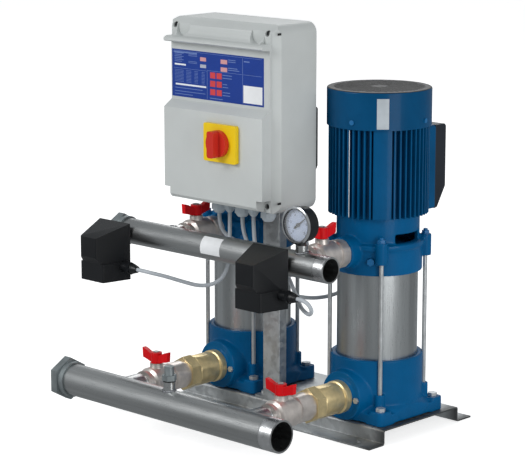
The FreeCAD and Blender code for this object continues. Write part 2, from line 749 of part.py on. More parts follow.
def pump_jackets():
    shells = []
    for side in (-1, 1):
        start = V(side * PUMP_X, PUMP_Y, SEAT_LOW)
        shells.append(tube(JACKET_R, JACKET_BORE_R, start, Z, SEAT_HIGH - SEAT_LOW))
    return shells


def tie_rods():
    solids = []
    low = BASE_TOP + PILLAR_HEIGHT - ROD_ENGAGE
    nut_seat = HEAD_BOTTOM + HEAD_LUG_HIGH
    for side in (-1, 1):
        for offset in corners(ROD_OFFSET):
            place = V(side * PUMP_X, PUMP_Y, 0) + offset
            length = nut_seat + ROD_NUT_HEIGHT + ROD_STICKOUT - low
            solids.append(rod(ROD_R, place + V(0, 0, low), Z, length))
            nut = hexagon(ROD_NUT_FLATS, place + V(0, 0, nut_seat), Z, ROD_NUT_HEIGHT)
            solids.append(nut.cut(rod(ROD_R + FIT, place + V(0, 0, nut_seat), Z, ROD_NUT_HEIGHT)))
    return solids


def pump_head(side):
    """Casting with the discharge port at the front and a lantern that carries the motor."""
    rim_top = BOWL_TOP + BOWL_RIM_HEIGHT
    body = turned([(0, HEAD_BOTTOM), (BOWL_R, HEAD_BOTTOM), (BOWL_R, BOWL_TOP - 3), (BOWL_RIM_R, BOWL_TOP),
                   (BOWL_RIM_R, rim_top), (LANTERN_R, rim_top + 3), (LANTERN_R, HEAD_TOP), (0, HEAD_TOP)],
                  V(0, 0, 0), Z)
    lugs = []
    for offset in corners(ROD_OFFSET):
        lugs.append(rod(HEAD_LUG_R, offset + V(0, 0, HEAD_BOTTOM + HEAD_LUG_LOW), Z,
                        HEAD_LUG_HIGH - HEAD_LUG_LOW))
    axis = V(0, 0, DISCHARGE_Z)
    lantern_bore = LANTERN_R - LANTERN_WALL
    boss = rod(DISCHARGE_BOSS_R, axis + FRONT * lantern_bore, FRONT, PORT_REACH - lantern_bore)
    body = fused([body] + lugs + [boss])
    wall_low = BOWL_TOP - HEAD_WALL_THICK
    bowl = turned([(0, HEAD_BOTTOM - 1), (JACKET_R + FIT, HEAD_BOTTOM - 1), (JACKET_R + FIT, SEAT_HIGH),
                   (CAVITY_WALL_R, SEAT_HIGH), (CAVITY_WALL_R, wall_low), (0, wall_low)], V(0, 0, 0), Z)
    lantern = rod(lantern_bore, V(0, 0, BOWL_TOP), Z, HEAD_TOP - BOWL_TOP + 1)
    body = body.cut(bowl).cut(lantern)
    body = body.cut(rod(SEAL_R + FIT, V(0, 0, wall_low - 1), Z, HEAD_WALL_THICK + 2))
    body = body.cut(rod(THREAD_R + FIT, axis + FRONT * (PORT_REACH - THREAD_DEPTH), FRONT, THREAD_DEPTH + 1))
    throat = CAVITY_WALL_R - 4
    passage = rod(NIPPLE_BORE_R, axis + FRONT * throat, FRONT, PORT_REACH - throat)
    drop = rod(NIPPLE_BORE_R, axis + FRONT * throat, DOWN, DISCHARGE_Z - SEAT_HIGH)
    body = body.cut(passage).cut(drop)
    low = BOWL_TOP + 10
    for sign in (-1, 1):
        body = body.cut(block(min(sign * 50, sign * 95), max(sign * 50, sign * 95), -WINDOW_WIDTH / 2,
                              WINDOW_WIDTH / 2, low, low + WINDOW_HEIGHT))
    for offset in corners(ROD_OFFSET):
        body = body.cut(rod(ROD_R + 0.5, offset + V(0, 0, HEAD_BOTTOM), Z, HEAD_LUG_HIGH + 1))
    out = radial(VENT_ANGLE)
    place = V(0, 0, HEAD_BOTTOM + VENT_RISE) + out * (CAVITY_WALL_R - 2)
    body = body.cut(rod(PLUG_R + FIT, place, out, CASTING_WALL + 10))
    flat = BOWL_R - 0.01
    body = body.cut(rod(PLUG_HEAD_R + 1, V(0, 0, HEAD_BOTTOM + VENT_RISE) + out * flat, out, 12))
    return moved([body], V(side * PUMP_X, PUMP_Y, 0))


def stage_pitch():
    return (SEAT_HIGH - SEAT_LOW) / STAGES


def pump_diffusers():
    """Stage casings, stacked cups with an eye for the water, that stand on the casting's ledge."""
    pitch = stage_pitch()
    outer = JACKET_BORE_R - GAP
    cups = []
    for side in (-1, 1):
        for stage in range(STAGES):
            cup = turned([(STAGE_EYE_R, 0), (outer, 0), (outer, pitch), (outer - STAGE_WALL, pitch),
                          (outer - STAGE_WALL, STAGE_FLOOR), (STAGE_EYE_R, STAGE_FLOOR)],
                         V(side * PUMP_X, PUMP_Y, SEAT_LOW + stage * pitch), Z)
            cups.append(cup)
    return cups


def impeller():
    """Closed impeller: two discs with vanes between them on one hub, its foot at height zero."""
    top = IMPELLER_WIDTH + 2 * IMPELLER_DISC
    bore = PUMP_SHAFT_R + RUN
    body = turned([(bore, -2), (IMPELLER_HUB_R, -2), (IMPELLER_HUB_R, top - IMPELLER_DISC),
                   (IMPELLER_R, top - IMPELLER_DISC), (IMPELLER_R, top), (IMPELLER_HUB_R, top),
                   (IMPELLER_HUB_R, top + 6), (bore, top + 6)], V(0, 0, 0), Z)
    shroud = tube(IMPELLER_R, STAGE_EYE_R, V(0, 0, 0), Z, IMPELLER_DISC)
    vanes = []
    for i in range(IMPELLER_VANES):
        vane = block(IMPELLER_HUB_R - 1, IMPELLER_R - 1, -1, 1, IMPELLER_DISC / 2, top - IMPELLER_DISC / 2)
        vanes.append(spun(vane, 360 * i / IMPELLER_VANES))
    return fused([body, shroud] + vanes)


def impellers(side):
    wheel = impeller()
    pitch = stage_pitch()
    solids = []
    for stage in range(STAGES):
        height = SEAT_LOW + stage * pitch + STAGE_FLOOR + IMPELLER_CLEAR
        solids += moved([wheel], V(side * PUMP_X, PUMP_Y, height))
    return solids


def rotor_shaft(side):
    """Pump shaft, coupling sleeve and motor shaft with its rotor core."""
    low = BASE_TOP + PUMP_SHAFT_LOW
    sleeve_low = HEAD_BOTTOM + COUPLING_RISE
    split = sleeve_low + COUPLING_SPLIT
    sleeve_top = sleeve_low + COUPLING_LENGTH
    pump_shaft = rod(PUMP_SHAFT_R, V(0, 0, low), Z, split - low)
    sleeve = turned([(PUMP_SHAFT_R + RUN, sleeve_low), (COUPLING_R, sleeve_low), (COUPLING_R, sleeve_top),
                     (MOTOR_SHAFT_R + RUN, sleeve_top), (MOTOR_SHAFT_R + RUN, split),
                     (PUMP_SHAFT_R + RUN, split)], V(0, 0, 0), Z)
    core_low = FRAME_LOW + STATOR_LOW - 15
    core_high = core_low + STATOR_LENGTH
    top = SHIELD_TOP + FAN_RISE + FAN_HEIGHT - 4
    motor_shaft = turned([(0, split), (MOTOR_SHAFT_R, split), (MOTOR_SHAFT_R, core_low), (ROTOR_R, core_low),
                          (ROTOR_R, core_high), (MOTOR_SHAFT_R, core_high), (MOTOR_SHAFT_R, top), (0, top)],
                         V(0, 0, 0), Z)
    return moved([pump_shaft, sleeve, motor_shaft], V(side * PUMP_X, PUMP_Y, 0))


def fin_outline():
    """Points of the frame's section: fins all round, broad pads at the corners, a gap at the back."""
    points = []
    pitch = 360.0 / FIN_COUNT
    seat_half = math.degrees(math.asin((TERMINAL_HALF + FIN_THICK) / FIN_R))
    root = math.degrees(math.asin(FIN_THICK / 2 / FRAME_CORE_R))
    tip = math.degrees(math.asin(FIN_THICK / 2 / FIN_R))
    for i in range(FIN_COUNT):
        angle = pitch * (i + 0.5)
        from_pad = min(abs(angle - pad) for pad in (45, 135, 225, 315))
        if abs(angle - 90) < seat_half:
            points.append((FRAME_CORE_R, angle))
        elif from_pad < PAD_HALF_ANGLE:
            points += [(FIN_R, angle - pitch / 2), (FIN_R, angle), (FIN_R, angle + pitch / 2)]
        else:
            points += [(FRAME_CORE_R, angle - root), (FIN_R, angle - tip), (FIN_R, angle + tip),
                       (FRAME_CORE_R, angle + root)]
    return [V(r * math.cos(math.radians(a)), r * math.sin(math.radians(a)), 0) for r, a in points]


def motor_housing(side):
    """Finned frame, lower flange and upper end shield, as three solids."""
    skirt = HEAD_TOP + SKIRT_GAP
    frame = polygon(fin_outline()).extrude(V(0, 0, FRAME_HIGH - skirt))
    frame.translate(V(0, 0, skirt))
    seat = block(-TERMINAL_HALF, TERMINAL_HALF, FRAME_BORE_R - 20, TERMINAL_SEAT,
                 FRAME_LOW + 3, COVER_LOW - 4)
    frame = fused([frame, seat])
    frame = frame.cut(rod(FRAME_BORE_R, V(0, 0, FRAME_LOW - 1), Z, FRAME_HIGH - FRAME_LOW + 2))
    frame = frame.cut(rod(FLANGE_R + FIT, V(0, 0, skirt - 1), Z, FRAME_LOW - skirt + 1))
    spigot = FRAME_BORE_R - FIT
    seat_r = BEARING_R + FIT
    shaft_hole = MOTOR_SHAFT_R + 2
    bearing_low = HEAD_TOP + SPIGOT_HEIGHT
    flange = turned([(shaft_hole, HEAD_TOP), (FLANGE_R, HEAD_TOP), (FLANGE_R, FRAME_LOW), (spigot, FRAME_LOW),
                     (spigot, FRAME_LOW + SPIGOT_HEIGHT), (seat_r, FRAME_LOW + SPIGOT_HEIGHT),
                     (seat_r, bearing_low), (shaft_hole, bearing_low)], V(0, 0, 0), Z)
    bearing_top = FRAME_HIGH + SHIELD_HEIGHT - SPIGOT_HEIGHT
    bearing_foot = bearing_top - BEARING_HEIGHT
    shield = turned([(seat_r, bearing_foot), (spigot, bearing_foot), (spigot, FRAME_HIGH),
                     (SHIELD_R, FRAME_HIGH), (SHIELD_R, SHIELD_TOP), (shaft_hole, SHIELD_TOP),
                     (shaft_hole, bearing_top), (seat_r, bearing_top)], V(0, 0, 0), Z)
    tabs = []
    reach = COVER_R - COVER_WALL - RUN
    for turn in range(4):
        tab = block(SHIELD_R - 4, reach + 1, -TAB_WIDTH / 2, TAB_WIDTH / 2, FRAME_HIGH + 1, SHIELD_TOP - 1)
        tabs.append(spun(tab, TAB_TURN - 90 + 90 * turn).common(rod(reach, V(0, 0, FRAME_HIGH), Z, 20)))
    shield = fused([shield] + tabs)
    for turn in range(4):
        out = radial(TAB_TURN + 90 * turn)
        place = V(0, 0, screw_height()) + out * (COVER_R - 12.5)
        shield = shield.cut(rod(COVER_SCREW_R + FIT, place, out, 20))
    return moved([flange, frame, shield], V(side * PUMP_X, PUMP_Y, 0))


def motor_stators():
    solids = []
    low = FRAME_LOW + STATOR_LOW - 15
    outer = FRAME_BORE_R - RUN
    for side in (-1, 1):
        centre = V(side * PUMP_X, PUMP_Y, low)
        core = tube(outer, STATOR_BORE_R, centre, Z, STATOR_LENGTH)
        under = tube(outer - 6, STATOR_BORE_R + 4, centre, DOWN, WINDING_HEIGHT)
        over = tube(outer - 6, STATOR_BORE_R + 4, centre + V(0, 0, STATOR_LENGTH), Z, WINDING_HEIGHT)
        solids.append(fused([core, under, over]))
    return solids


def bearing(centre):
    """A ring with a shallow groove in both faces, between the two races."""
    inner = MOTOR_SHAFT_R + RUN
    middle_low = inner + 4
    middle_high = BEARING_R - 4
    dip = 1.0
    return turned([(inner, 0), (middle_low, 0), (middle_low, dip), (middle_high, dip), (middle_high, 0),
                   (BEARING_R, 0), (BEARING_R, BEARING_HEIGHT), (middle_high, BEARING_HEIGHT),
                   (middle_high, BEARING_HEIGHT - dip), (middle_low, BEARING_HEIGHT - dip),
                   (middle_low, BEARING_HEIGHT), (inner, BEARING_HEIGHT)], centre, Z)


def shaft_bearings():
    solids = []
    upper = FRAME_HIGH + SHIELD_HEIGHT - SPIGOT_HEIGHT - BEARING_HEIGHT
    for side in (-1, 1):
        centre = V(side * PUMP_X, PUMP_Y, 0)
        solids.append(bearing(centre + V(0, 0, HEAD_TOP + SPIGOT_HEIGHT)))
        solids.append(bearing(centre + V(0, 0, upper)))
        low = centre + V(0, 0, BASE_TOP + SPIDER_RISE - 3)
        solids.append(tube(BUSH_R, PUMP_SHAFT_R + RUN, low, Z, BUSH_HEIGHT - 2))
    return solids


def seal_rings():
    """Shaft seals in the pump heads and seat rings in the ball valves."""
    solids = []
    low = BOWL_TOP - SEAL_HEIGHT
    for side in (-1, 1):
        solids.append(tube(SEAL_R, PUMP_SHAFT_R + RUN, V(side * PUMP_X, PUMP_Y, low), Z, SEAL_HEIGHT))
        for y, z in valve_centres():
            centre = V(side * PUMP_X, y, z)
            for direction in (FRONT, BACK):
                start = centre + direction * SEAT_FACE
                solids.append(tube(SEAT_R, NIPPLE_BORE_R + 0.5, start, direction, SEAT_END - SEAT_FACE))
    solids.append(tube(TOP_STUB_R + 0.8, TOP_STUB_BORE_R, plug_seat(), Z, TOP_SEAL_THICK))
    return solids


def cooling_fan(side):
    low = SHIELD_TOP + FAN_RISE
    centre = V(0, 0, low)
    bore = MOTOR_SHAFT_R + RUN
    hub = tube(FAN_HUB_R, bore, centre, Z, FAN_HEIGHT - 2)
    disc = tube(FAN_R, bore, centre, Z, FAN_SHEET)
    blades = []
    for i in range(FAN_BLADES):
        blade = block(FAN_HUB_R - 1, FAN_R - 1, -FAN_SHEET / 2, FAN_SHEET / 2, low, low + FAN_HEIGHT)
        blades.append(spun(blade, 360 * i / FAN_BLADES))
    return moved([fused([hub, disc] + blades)], V(side * PUMP_X, PUMP_Y, 0))


def fan_cover():
    """Drawn sheet cup over the fan, with a field of parallel slots in its top."""
    inner = COVER_R - COVER_WALL
    shell = rod(COVER_R, V(0, 0, COVER_LOW), Z, COVER_HEIGHT)
    top_edge = [e for e in shell.Edges if abs(e.BoundBox.ZMin - COVER_TOP) < 0.01
                and isinstance(e.Curve, Part.Circle)]
    shell = shell.makeFillet(COVER_ROUND, top_edge)
    hollow = rod(inner, V(0, 0, COVER_LOW - 1), Z, COVER_HEIGHT - COVER_WALL + 1)
    inner_edge = [e for e in hollow.Edges if abs(e.BoundBox.ZMin - (COVER_TOP - COVER_WALL)) < 0.01
                  and isinstance(e.Curve, Part.Circle)]
    hollow = hollow.makeFillet(COVER_ROUND - COVER_WALL, inner_edge)
    shell = shell.cut(hollow)
    rows = int(SLOT_FIELD_R / SLOT_PITCH)
    slots = []
    for row in range(-rows, rows + 1):
        across = row * SLOT_PITCH
        reach = math.sqrt(SLOT_FIELD_R ** 2 - across ** 2)
        near = abs(across) < SLOT_CENTRE_R
        start = math.sqrt(max(SLOT_CENTRE_R ** 2 - across ** 2, 0)) if near else 0
        spans = [(-reach, -start), (start, reach)] if near else [(-reach, reach)]
        for x0, x1 in spans:
            if x1 - x0 > 2 * SLOT_WIDTH:
                slots.append(rounded_block(x0, x1, across - SLOT_WIDTH / 2, across + SLOT_WIDTH / 2,
                                           COVER_TOP - 4, COVER_TOP + 2, SLOT_WIDTH * 0.45, Z))
    shell = shell.cut(Part.makeCompound(slots))
    for turn in range(4):
        out = radial(TAB_TURN + 90 * turn)
        place = V(0, 0, screw_height()) + out * (COVER_R - 5)
        shell = shell.cut(rod(COVER_SCREW_R + FIT, place, out, 10))
    return shell


def fan_covers():
    shell = fan_cover()
    return moved([shell], V(-PUMP_X, PUMP_Y, 0)) + moved([shell], V(PUMP_X, PUMP_Y, 0))


def terminal_boxes():
    solids = []
    low = HEAD_TOP + TERMINAL_LOW
    high = HEAD_TOP + TERMINAL_HIGH
    rear = TERMINAL_SEAT + TERMINAL_DEPTH
    box = rounded_block(-TERMINAL_HALF, TERMINAL_HALF, TERMINAL_SEAT, rear, low, high, LID_ROUND, Y)
    inner = TERMINAL_HALF - TERMINAL_WALL
    box = box.cut(block(-inner, inner, TERMINAL_SEAT + TERMINAL_WALL, rear + 1, low + TERMINAL_WALL,
                        high - TERMINAL_WALL))
    box = box.cut(rod(SWITCH_GLAND_R - 1.4, V(0, terminal_gland_depth(), low - 1), Z, TERMINAL_WALL + 2))
    for side in (-1, 1):
        solids += moved([box], V(side * PUMP_X, PUMP_Y, 0))
    return solids


def terminal_gland_depth():
    return TERMINAL_SEAT + TERMINAL_DEPTH / 2 + 1


def lid_outline(inset):
    rear = TERMINAL_SEAT + TERMINAL_DEPTH
    back = rear + LID_DEPTH - inset
    low = HEAD_TOP + TERMINAL_LOW + inset
    high = HEAD_TOP + TERMINAL_HIGH - inset
    return [V(0, rear, low), V(0, rear + LID_SHELF, low + LID_RISE), V(0, back, low + LID_BEVEL),
            V(0, back, high - 4), V(0, back - 4, high), V(0, rear, high)]


def terminal_lids():
    lid = polygon(lid_outline(0)).extrude(V(2 * TERMINAL_HALF, 0, 0))
    lid.translate(V(-TERMINAL_HALF, 0, 0))
    inner = TERMINAL_HALF - LID_WALL
    hollow = polygon(lid_outline(LID_WALL)).extrude(V(2 * inner, 0, 0))
    hollow.translate(V(-inner, -1e-3, 0))
    lid = lid.cut(hollow)
    return moved([lid], V(-PUMP_X, PUMP_Y, 0)) + moved([lid], V(PUMP_X, PUMP_Y, 0))


def valve_centres():
    """Y and Z of the ball in the suction valves and in the discharge valves."""
    return [(SUCTION_VALVE_Y + SUCTION_VALVE_STEM, SUCTION_Z),
            (DISCHARGE_VALVE_Y + DISCHARGE_VALVE_STEM, DISCHARGE_Z)]


VALVES = {"suction": (SUCTION_VALVE_Y, SUCTION_VALVE_LENGTH, SUCTION_VALVE_STEM, SUCTION_Z),
          "discharge": (DISCHARGE_VALVE_Y, DISCHARGE_VALVE_LENGTH, DISCHARGE_VALVE_STEM, DISCHARGE_Z)}


def valve_body(side, kind):
    """Round body along Y with an eight-sided outlet end, a spigot behind it and a bonnet on top."""
    start, length, stem, height = VALVES[kind]
    origin = V(side * PUMP_X, start, height)
    centre = origin + V(0, stem, 0)
    swell = stem + CAVITY_R + 5
    outlet = swell + 8
    shell = turned([(0, 0), (VALVE_COLLAR_R, 0), (VALVE_COLLAR_R, 6), (VALVE_COLLAR_R - 2, 8),
                    (VALVE_COLLAR_R - 2, 11), (VALVE_R, 15), (VALVE_R, swell),
                    (VALVE_COLLAR_R - 1, swell + 2), (VALVE_COLLAR_R - 1, outlet),
                    (VALVE_END_R, outlet + 2), (VALVE_END_R, length), (0, length)], origin, BACK)
    prism = hexagon(VALVE_FLATS + 1.5, origin + V(0, outlet, 0), BACK, length - outlet, 8, math.pi / 8)
    front_part = rod(VALVE_R + 1, origin, BACK, outlet)
    shell = shell.common(fused([prism, front_part]))
    spigot = rod(THREAD_R, origin + V(0, length - 1, 0), BACK, THREAD_DEPTH - 1)
    bonnet = rod(BONNET_R, centre, Z, BONNET_RISE)
    body = fused([shell, spigot, bonnet])
    body = body.cut(rod(NIPPLE_BORE_R, origin - V(0, 1, 0), BACK, length + THREAD_DEPTH + 2))
    body = body.cut(rod(THREAD_R + FIT, origin - V(0, 1, 0), BACK, THREAD_DEPTH - 2 + 1))
    body = body.cut(Part.makeSphere(CAVITY_R, centre))
    body = body.cut(rod(SEAT_R + FIT, centre - V(0, SEAT_END, 0), BACK, 2 * SEAT_END))
    body = body.cut(rod(STEM_R + RUN, centre, Z, BONNET_RISE + 1))
    return solids_of(body)


def valve_ball(side, kind):
    """Bored ball with a flat on top, and the stem that stands on the flat."""
    start, length, stem, height = VALVES[kind]
    centre = V(side * PUMP_X, start + stem, height)
    along = X if kind == "suction" else Y
    ball = Part.makeSphere(BALL_R, centre)
    ball = ball.cut(rod(NIPPLE_BORE_R, centre - along * 30, along, 60))
    ball = ball.cut(block(centre.x - 20, centre.x + 20, centre.y - 20, centre.y + 20, height + BALL_FLAT,
                          height + 30))
    top = BONNET_RISE + HANDLE_HEIGHT + 1.5
    spindle = rod(STEM_R, centre + V(0, 0, BALL_FLAT), Z, top - BALL_FLAT)
    return [ball, spindle]


def valve_handle(side, kind):
    """Two-winged handle with a round hub, whose wings rise towards their tips."""
    start, length, stem, height = VALVES[kind]
    half = HANDLE_LENGTH / 2
    low = BONNET_RISE + 0.5
    top = low + HANDLE_HEIGHT
    tip = low + HANDLE_TIP
    wing = polygon([V(-half, 0, tip + 1), V(-half + 9, 0, tip - 1), V(-HANDLE_HUB_R, 0, low),
                    V(HANDLE_HUB_R, 0, low), V(half - 9, 0, tip - 1), V(half, 0, tip + 1),
                    V(half + 1.5, 0, top + HANDLE_TIP), V(half - 6, 0, top + 3),
                    V(HANDLE_HUB_R, 0, top - 4), V(-HANDLE_HUB_R, 0, top - 4),
                    V(-half + 6, 0, top + 3), V(-half - 1.5, 0, top + HANDLE_TIP)])
    wing = wing.extrude(V(0, HANDLE_THICK, 0))
    wing.translate(V(0, -HANDLE_THICK / 2, 0))
    hub = rod(HANDLE_HUB_R, V(0, 0, low), Z, HANDLE_HEIGHT)
    handle = fused([wing, hub])
    handle = handle.cut(rod(STEM_R + RUN, V(0, 0, low - 1), Z, HANDLE_HEIGHT + 10))
    handle = handle if kind == "suction" else spun(handle, 90)
    return moved([handle], V(side * PUMP_X, start + stem, height))


def check_valve_bodies():
    """Brass body with a hexagon at the inlet, a seat web and a spider that guides the disc."""
    solids = []
    for side in (-1, 1):
        origin = V(side * PUMP_X, CHECK_Y, SUCTION_Z)
        ring_start = CHECK_LENGTH - CHECK_RING
        hexed = hexagon(CHECK_FLATS, origin, BACK, CHECK_HEX, 6, math.pi / 6)
        shell = turned([(0, CHECK_HEX - 1), (CHECK_BODY_R - 2, CHECK_HEX - 1),
                        (CHECK_BODY_R - 2, CHECK_HEX + 3), (CHECK_BODY_R, CHECK_HEX + 5),
                        (CHECK_BODY_R, ring_start - 4),
                        (CHECK_BODY_R - 2, ring_start - 2), (CHECK_BODY_R - 2, ring_start),
                        (CHECK_RING_R, ring_start + 1.5), (CHECK_RING_R, CHECK_LENGTH), (0, CHECK_LENGTH)],
                       origin, BACK)
        flats = hexagon(2 * CHECK_BODY_R - 2, origin, BACK, ring_start - 3, 8, math.pi / 8)
        shell = shell.common(fused([flats, rod(CHECK_RING_R, origin + V(0, ring_start - 3, 0), BACK, 40)]))
        spigot = rod(CHECK_SPIGOT_R, origin + V(0, CHECK_LENGTH - 1, 0), BACK, THREAD_DEPTH - 1)
        body = fused([hexed, shell, spigot])
        body = body.cut(rod(THREAD_R + FIT, origin - V(0, 1, 0), BACK, THREAD_DEPTH + 1))
        body = body.cut(rod(CHECK_SEAT_R, origin, BACK, CHECK_SEAT + 1))
        body = body.cut(rod(CHECK_CHAMBER_R, origin + V(0, CHECK_SEAT, 0), BACK, CHECK_SPIDER - CHECK_SEAT))
        hollow = CHECK_LENGTH + THREAD_DEPTH - CHECK_SPIDER - CHECK_SPIDER_THICK
        outlet = origin + V(0, CHECK_SPIDER + CHECK_SPIDER_THICK, 0)
        body = body.cut(rod(CHECK_SPIGOT_R - 3, outlet, BACK, hollow))
        web = origin + V(0, CHECK_SPIDER - 1, 0)
        body = body.cut(rod(DISC_STEM_R + RUN, web, BACK, CHECK_SPIDER_THICK + 2))
        for turn in range(4):
            angle = math.radians(45 + 90 * turn)
            place = web + V(12 * math.cos(angle), 0, 12 * math.sin(angle))
            body = body.cut(rod(4.5, place, BACK, CHECK_SPIDER_THICK + 2))
        solids.append(body)
    return solids


def check_valve_disc(side):
    start = V(side * PUMP_X, CHECK_Y + CHECK_SEAT, SUCTION_Z)
    stem_end = CHECK_SPIDER + CHECK_SPIDER_THICK - CHECK_SEAT
    return [turned([(0, 0), (DISC_R, 0), (DISC_R, DISC_THICK), (6, DISC_THICK), (DISC_STEM_R, DISC_THICK + 2),
                    (DISC_STEM_R, stem_end), (0, stem_end)], start, BACK)]


def check_spring(side):
    low = CHECK_SEAT + DISC_THICK + SPRING_WIRE_R + 0.05
    high = CHECK_SPIDER - SPRING_WIRE_R - 0.05
    pitch = (high - low) / SPRING_TURNS
    helix = Part.makeHelix(pitch, high - low, SPRING_R)
    rise = pitch / (2 * math.pi)
    profile = Part.Wire(Part.Circle(V(SPRING_R, 0, 0), V(0, SPRING_R, rise), SPRING_WIRE_R).toShape())
    coil = Part.Wire(helix).makePipeShell([profile], True, True)
    coil.Placement = FreeCAD.Placement(V(side * PUMP_X, CHECK_Y + low, SUCTION_Z), FreeCAD.Rotation(Z, BACK))
    return [coil]


def header_pipe(radius, wall, left, right, y, z, stub_reach, thread):
    """Header along X with a threaded right end, and a welded socket and a nipple for each pump."""
    axis = V(-left, y, z)
    plain = rod(radius, axis, X, left + right - thread)
    pipe = plain.fuse(rod(radius - THREAD_STEP, axis + X * (left + right - thread), X, thread))
    bores = [rod(radius - wall, axis - V(1, 0, 0), X, left + right + 2)]
    stubs = []
    nipples = []
    for side in (-1, 1):
        centre = V(side * PUMP_X, y, z)
        stubs.append(rod(STUB_R, centre, BACK, stub_reach))
        bores.append(rod(THREAD_R + FIT, centre, BACK, stub_reach + 1))
        nipple_start = centre + V(0, stub_reach - 12, 0)
        length = 12 + NIPPLE_SHOW + THREAD_DEPTH - 2.5
        nipples.append(tube(THREAD_R, NIPPLE_BORE_R, nipple_start, BACK, length))
    return pipe, stubs, bores, nipples


def suction_manifold():
    reach = SUCTION_VALVE_Y - NIPPLE_SHOW - SUCTION_PIPE_Y
    pipe, stubs, bores, nipples = header_pipe(SUCTION_PIPE_R, SUCTION_PIPE_WALL, SUCTION_LEFT, SUCTION_RIGHT,
                                              SUCTION_PIPE_Y, SUCTION_Z, reach, SUCTION_THREAD)
    place = V(TOP_PLUG_X, SUCTION_PIPE_Y, SUCTION_Z)
    stubs.append(rod(TOP_STUB_R, place, Z, SUCTION_PIPE_R + TOP_STUB_HEIGHT))
    bores.append(rod(TOP_STUB_BORE_R, place, Z, SUCTION_PIPE_R + TOP_STUB_HEIGHT + 1))
    return [fused([pipe] + stubs).cut(Part.makeCompound(bores))] + nipples


def discharge_manifold():
    reach = DISCHARGE_VALVE_Y - NIPPLE_SHOW - DISCHARGE_PIPE_Y
    pipe, stubs, bores, nipples = header_pipe(DISCHARGE_PIPE_R, DISCHARGE_PIPE_WALL, DISCHARGE_LEFT,
                                              DISCHARGE_RIGHT, DISCHARGE_PIPE_Y, DISCHARGE_Z, reach,
                                              DISCHARGE_THREAD)
    place = V(GAUGE_X, DISCHARGE_PIPE_Y, DISCHARGE_Z)
    stubs.append(rod(GAUGE_SOCKET_R, place, Z, DISCHARGE_PIPE_R + GAUGE_SOCKET_HEIGHT))
    bores.append(rod(GAUGE_STEM_R + FIT, place, Z, DISCHARGE_PIPE_R + GAUGE_SOCKET_HEIGHT + 1))
    for x in (SWITCH_X_LEFT + SWITCH_NIPPLE_SHIFT, SWITCH_X_RIGHT):
        centre = V(x, DISCHARGE_PIPE_Y, DISCHARGE_Z)
        stubs.append(rod(SWITCH_BOSS_R, centre, FRONT, DISCHARGE_PIPE_R + SWITCH_BACK_GAP - 1))
        bores.append(rod(SWITCH_NIPPLE_R + FIT, centre, FRONT, DISCHARGE_PIPE_R + SWITCH_BACK_GAP))
    return [fused([pipe] + stubs).cut(Part.makeCompound(bores))] + nipples


def hex_cap(flats, pipe_r, end_x, y, z):
    """Cap screwed on the left end of a header: a collar, a hexagon and a closed end."""
    start = V(end_x + CAP_GRIP, y, z)
    body = hexagon(flats, start - V(CAP_COLLAR, 0, 0), V(-1, 0, 0), CAP_GRIP + CAP_END - CAP_COLLAR + 4, 6, 0)
    collar = rod(pipe_r + CAP_COLLAR_WALL, start, V(-1, 0, 0), CAP_COLLAR)
    cap = fused([body, collar])
    return [cap.cut(rod(pipe_r + FIT, start + V(1, 0, 0), V(-1, 0, 0), CAP_GRIP + 1))]


def plug_seat():
    return V(TOP_PLUG_X, SUCTION_PIPE_Y, SUCTION_Z + SUCTION_PIPE_R + TOP_STUB_HEIGHT)


def manifold_caps():
    """Hexagon caps on the left ends of both headers, and the plug in the suction header's top."""
    suction = hex_cap(SUCTION_CAP_FLATS, SUCTION_PIPE_R, -SUCTION_LEFT, SUCTION_PIPE_Y, SUCTION_Z)
    discharge = hex_cap(DISCHARGE_CAP_FLATS, DISCHARGE_PIPE_R, -DISCHARGE_LEFT, DISCHARGE_PIPE_Y, DISCHARGE_Z)
    seat = plug_seat() + V(0, 0, TOP_SEAL_THICK)
    hexed = hexagon(TOP_PLUG_FLATS, seat, Z, TOP_PLUG_HEX)
    neck = rod(TOP_PLUG_NECK_R, seat, Z, TOP_PLUG_HEIGHT)
    thread = rod(TOP_STUB_BORE_R - FIT, seat, DOWN, TOP_STUB_HEIGHT)
    return suction + discharge + [fused([hexed, neck, thread])]


def gauge_front():
    return DISCHARGE_PIPE_Y - GAUGE_DEPTH / 2 - GAUGE_SHIFT


def gauge_case():
    front = V(GAUGE_X, gauge_front(), GAUGE_Z)
    case = turned([(0, GAUGE_DEPTH), (GAUGE_CASE_R - 3, GAUGE_DEPTH), (GAUGE_CASE_R, GAUGE_DEPTH - 3),
                   (GAUGE_CASE_R, GAUGE_BEZEL), (GAUGE_BEZEL_R, GAUGE_BEZEL), (GAUGE_BEZEL_R, 1.5),
                   (GAUGE_BEZEL_R - 1.5, 0), (GAUGE_BEZEL_R - 5, 0), (GAUGE_BEZEL_R - 5, GAUGE_GLASS_SET),
                   (GAUGE_BEZEL_R - 4, GAUGE_GLASS_SET), (GAUGE_BEZEL_R - 4, GAUGE_DIAL_SET + 1),
                   (GAUGE_CASE_R - GAUGE_WALL, GAUGE_DIAL_SET + 1),
                   (GAUGE_CASE_R - GAUGE_WALL, GAUGE_DEPTH - 3), (0, GAUGE_DEPTH - 3)], front, BACK)
    low = DISCHARGE_Z + DISCHARGE_PIPE_R + 2
    socket_top = DISCHARGE_Z + DISCHARGE_PIPE_R + GAUGE_SOCKET_HEIGHT
    stem_y = DISCHARGE_PIPE_Y
    shank = rod(GAUGE_STEM_R, V(GAUGE_X, stem_y, low), Z, GAUGE_Z - GAUGE_CASE_R + 2 - low)
    hexed = hexagon(GAUGE_HEX_FLATS, V(GAUGE_X, stem_y, socket_top), Z, 6)
    return [fused([case, shank, hexed])]


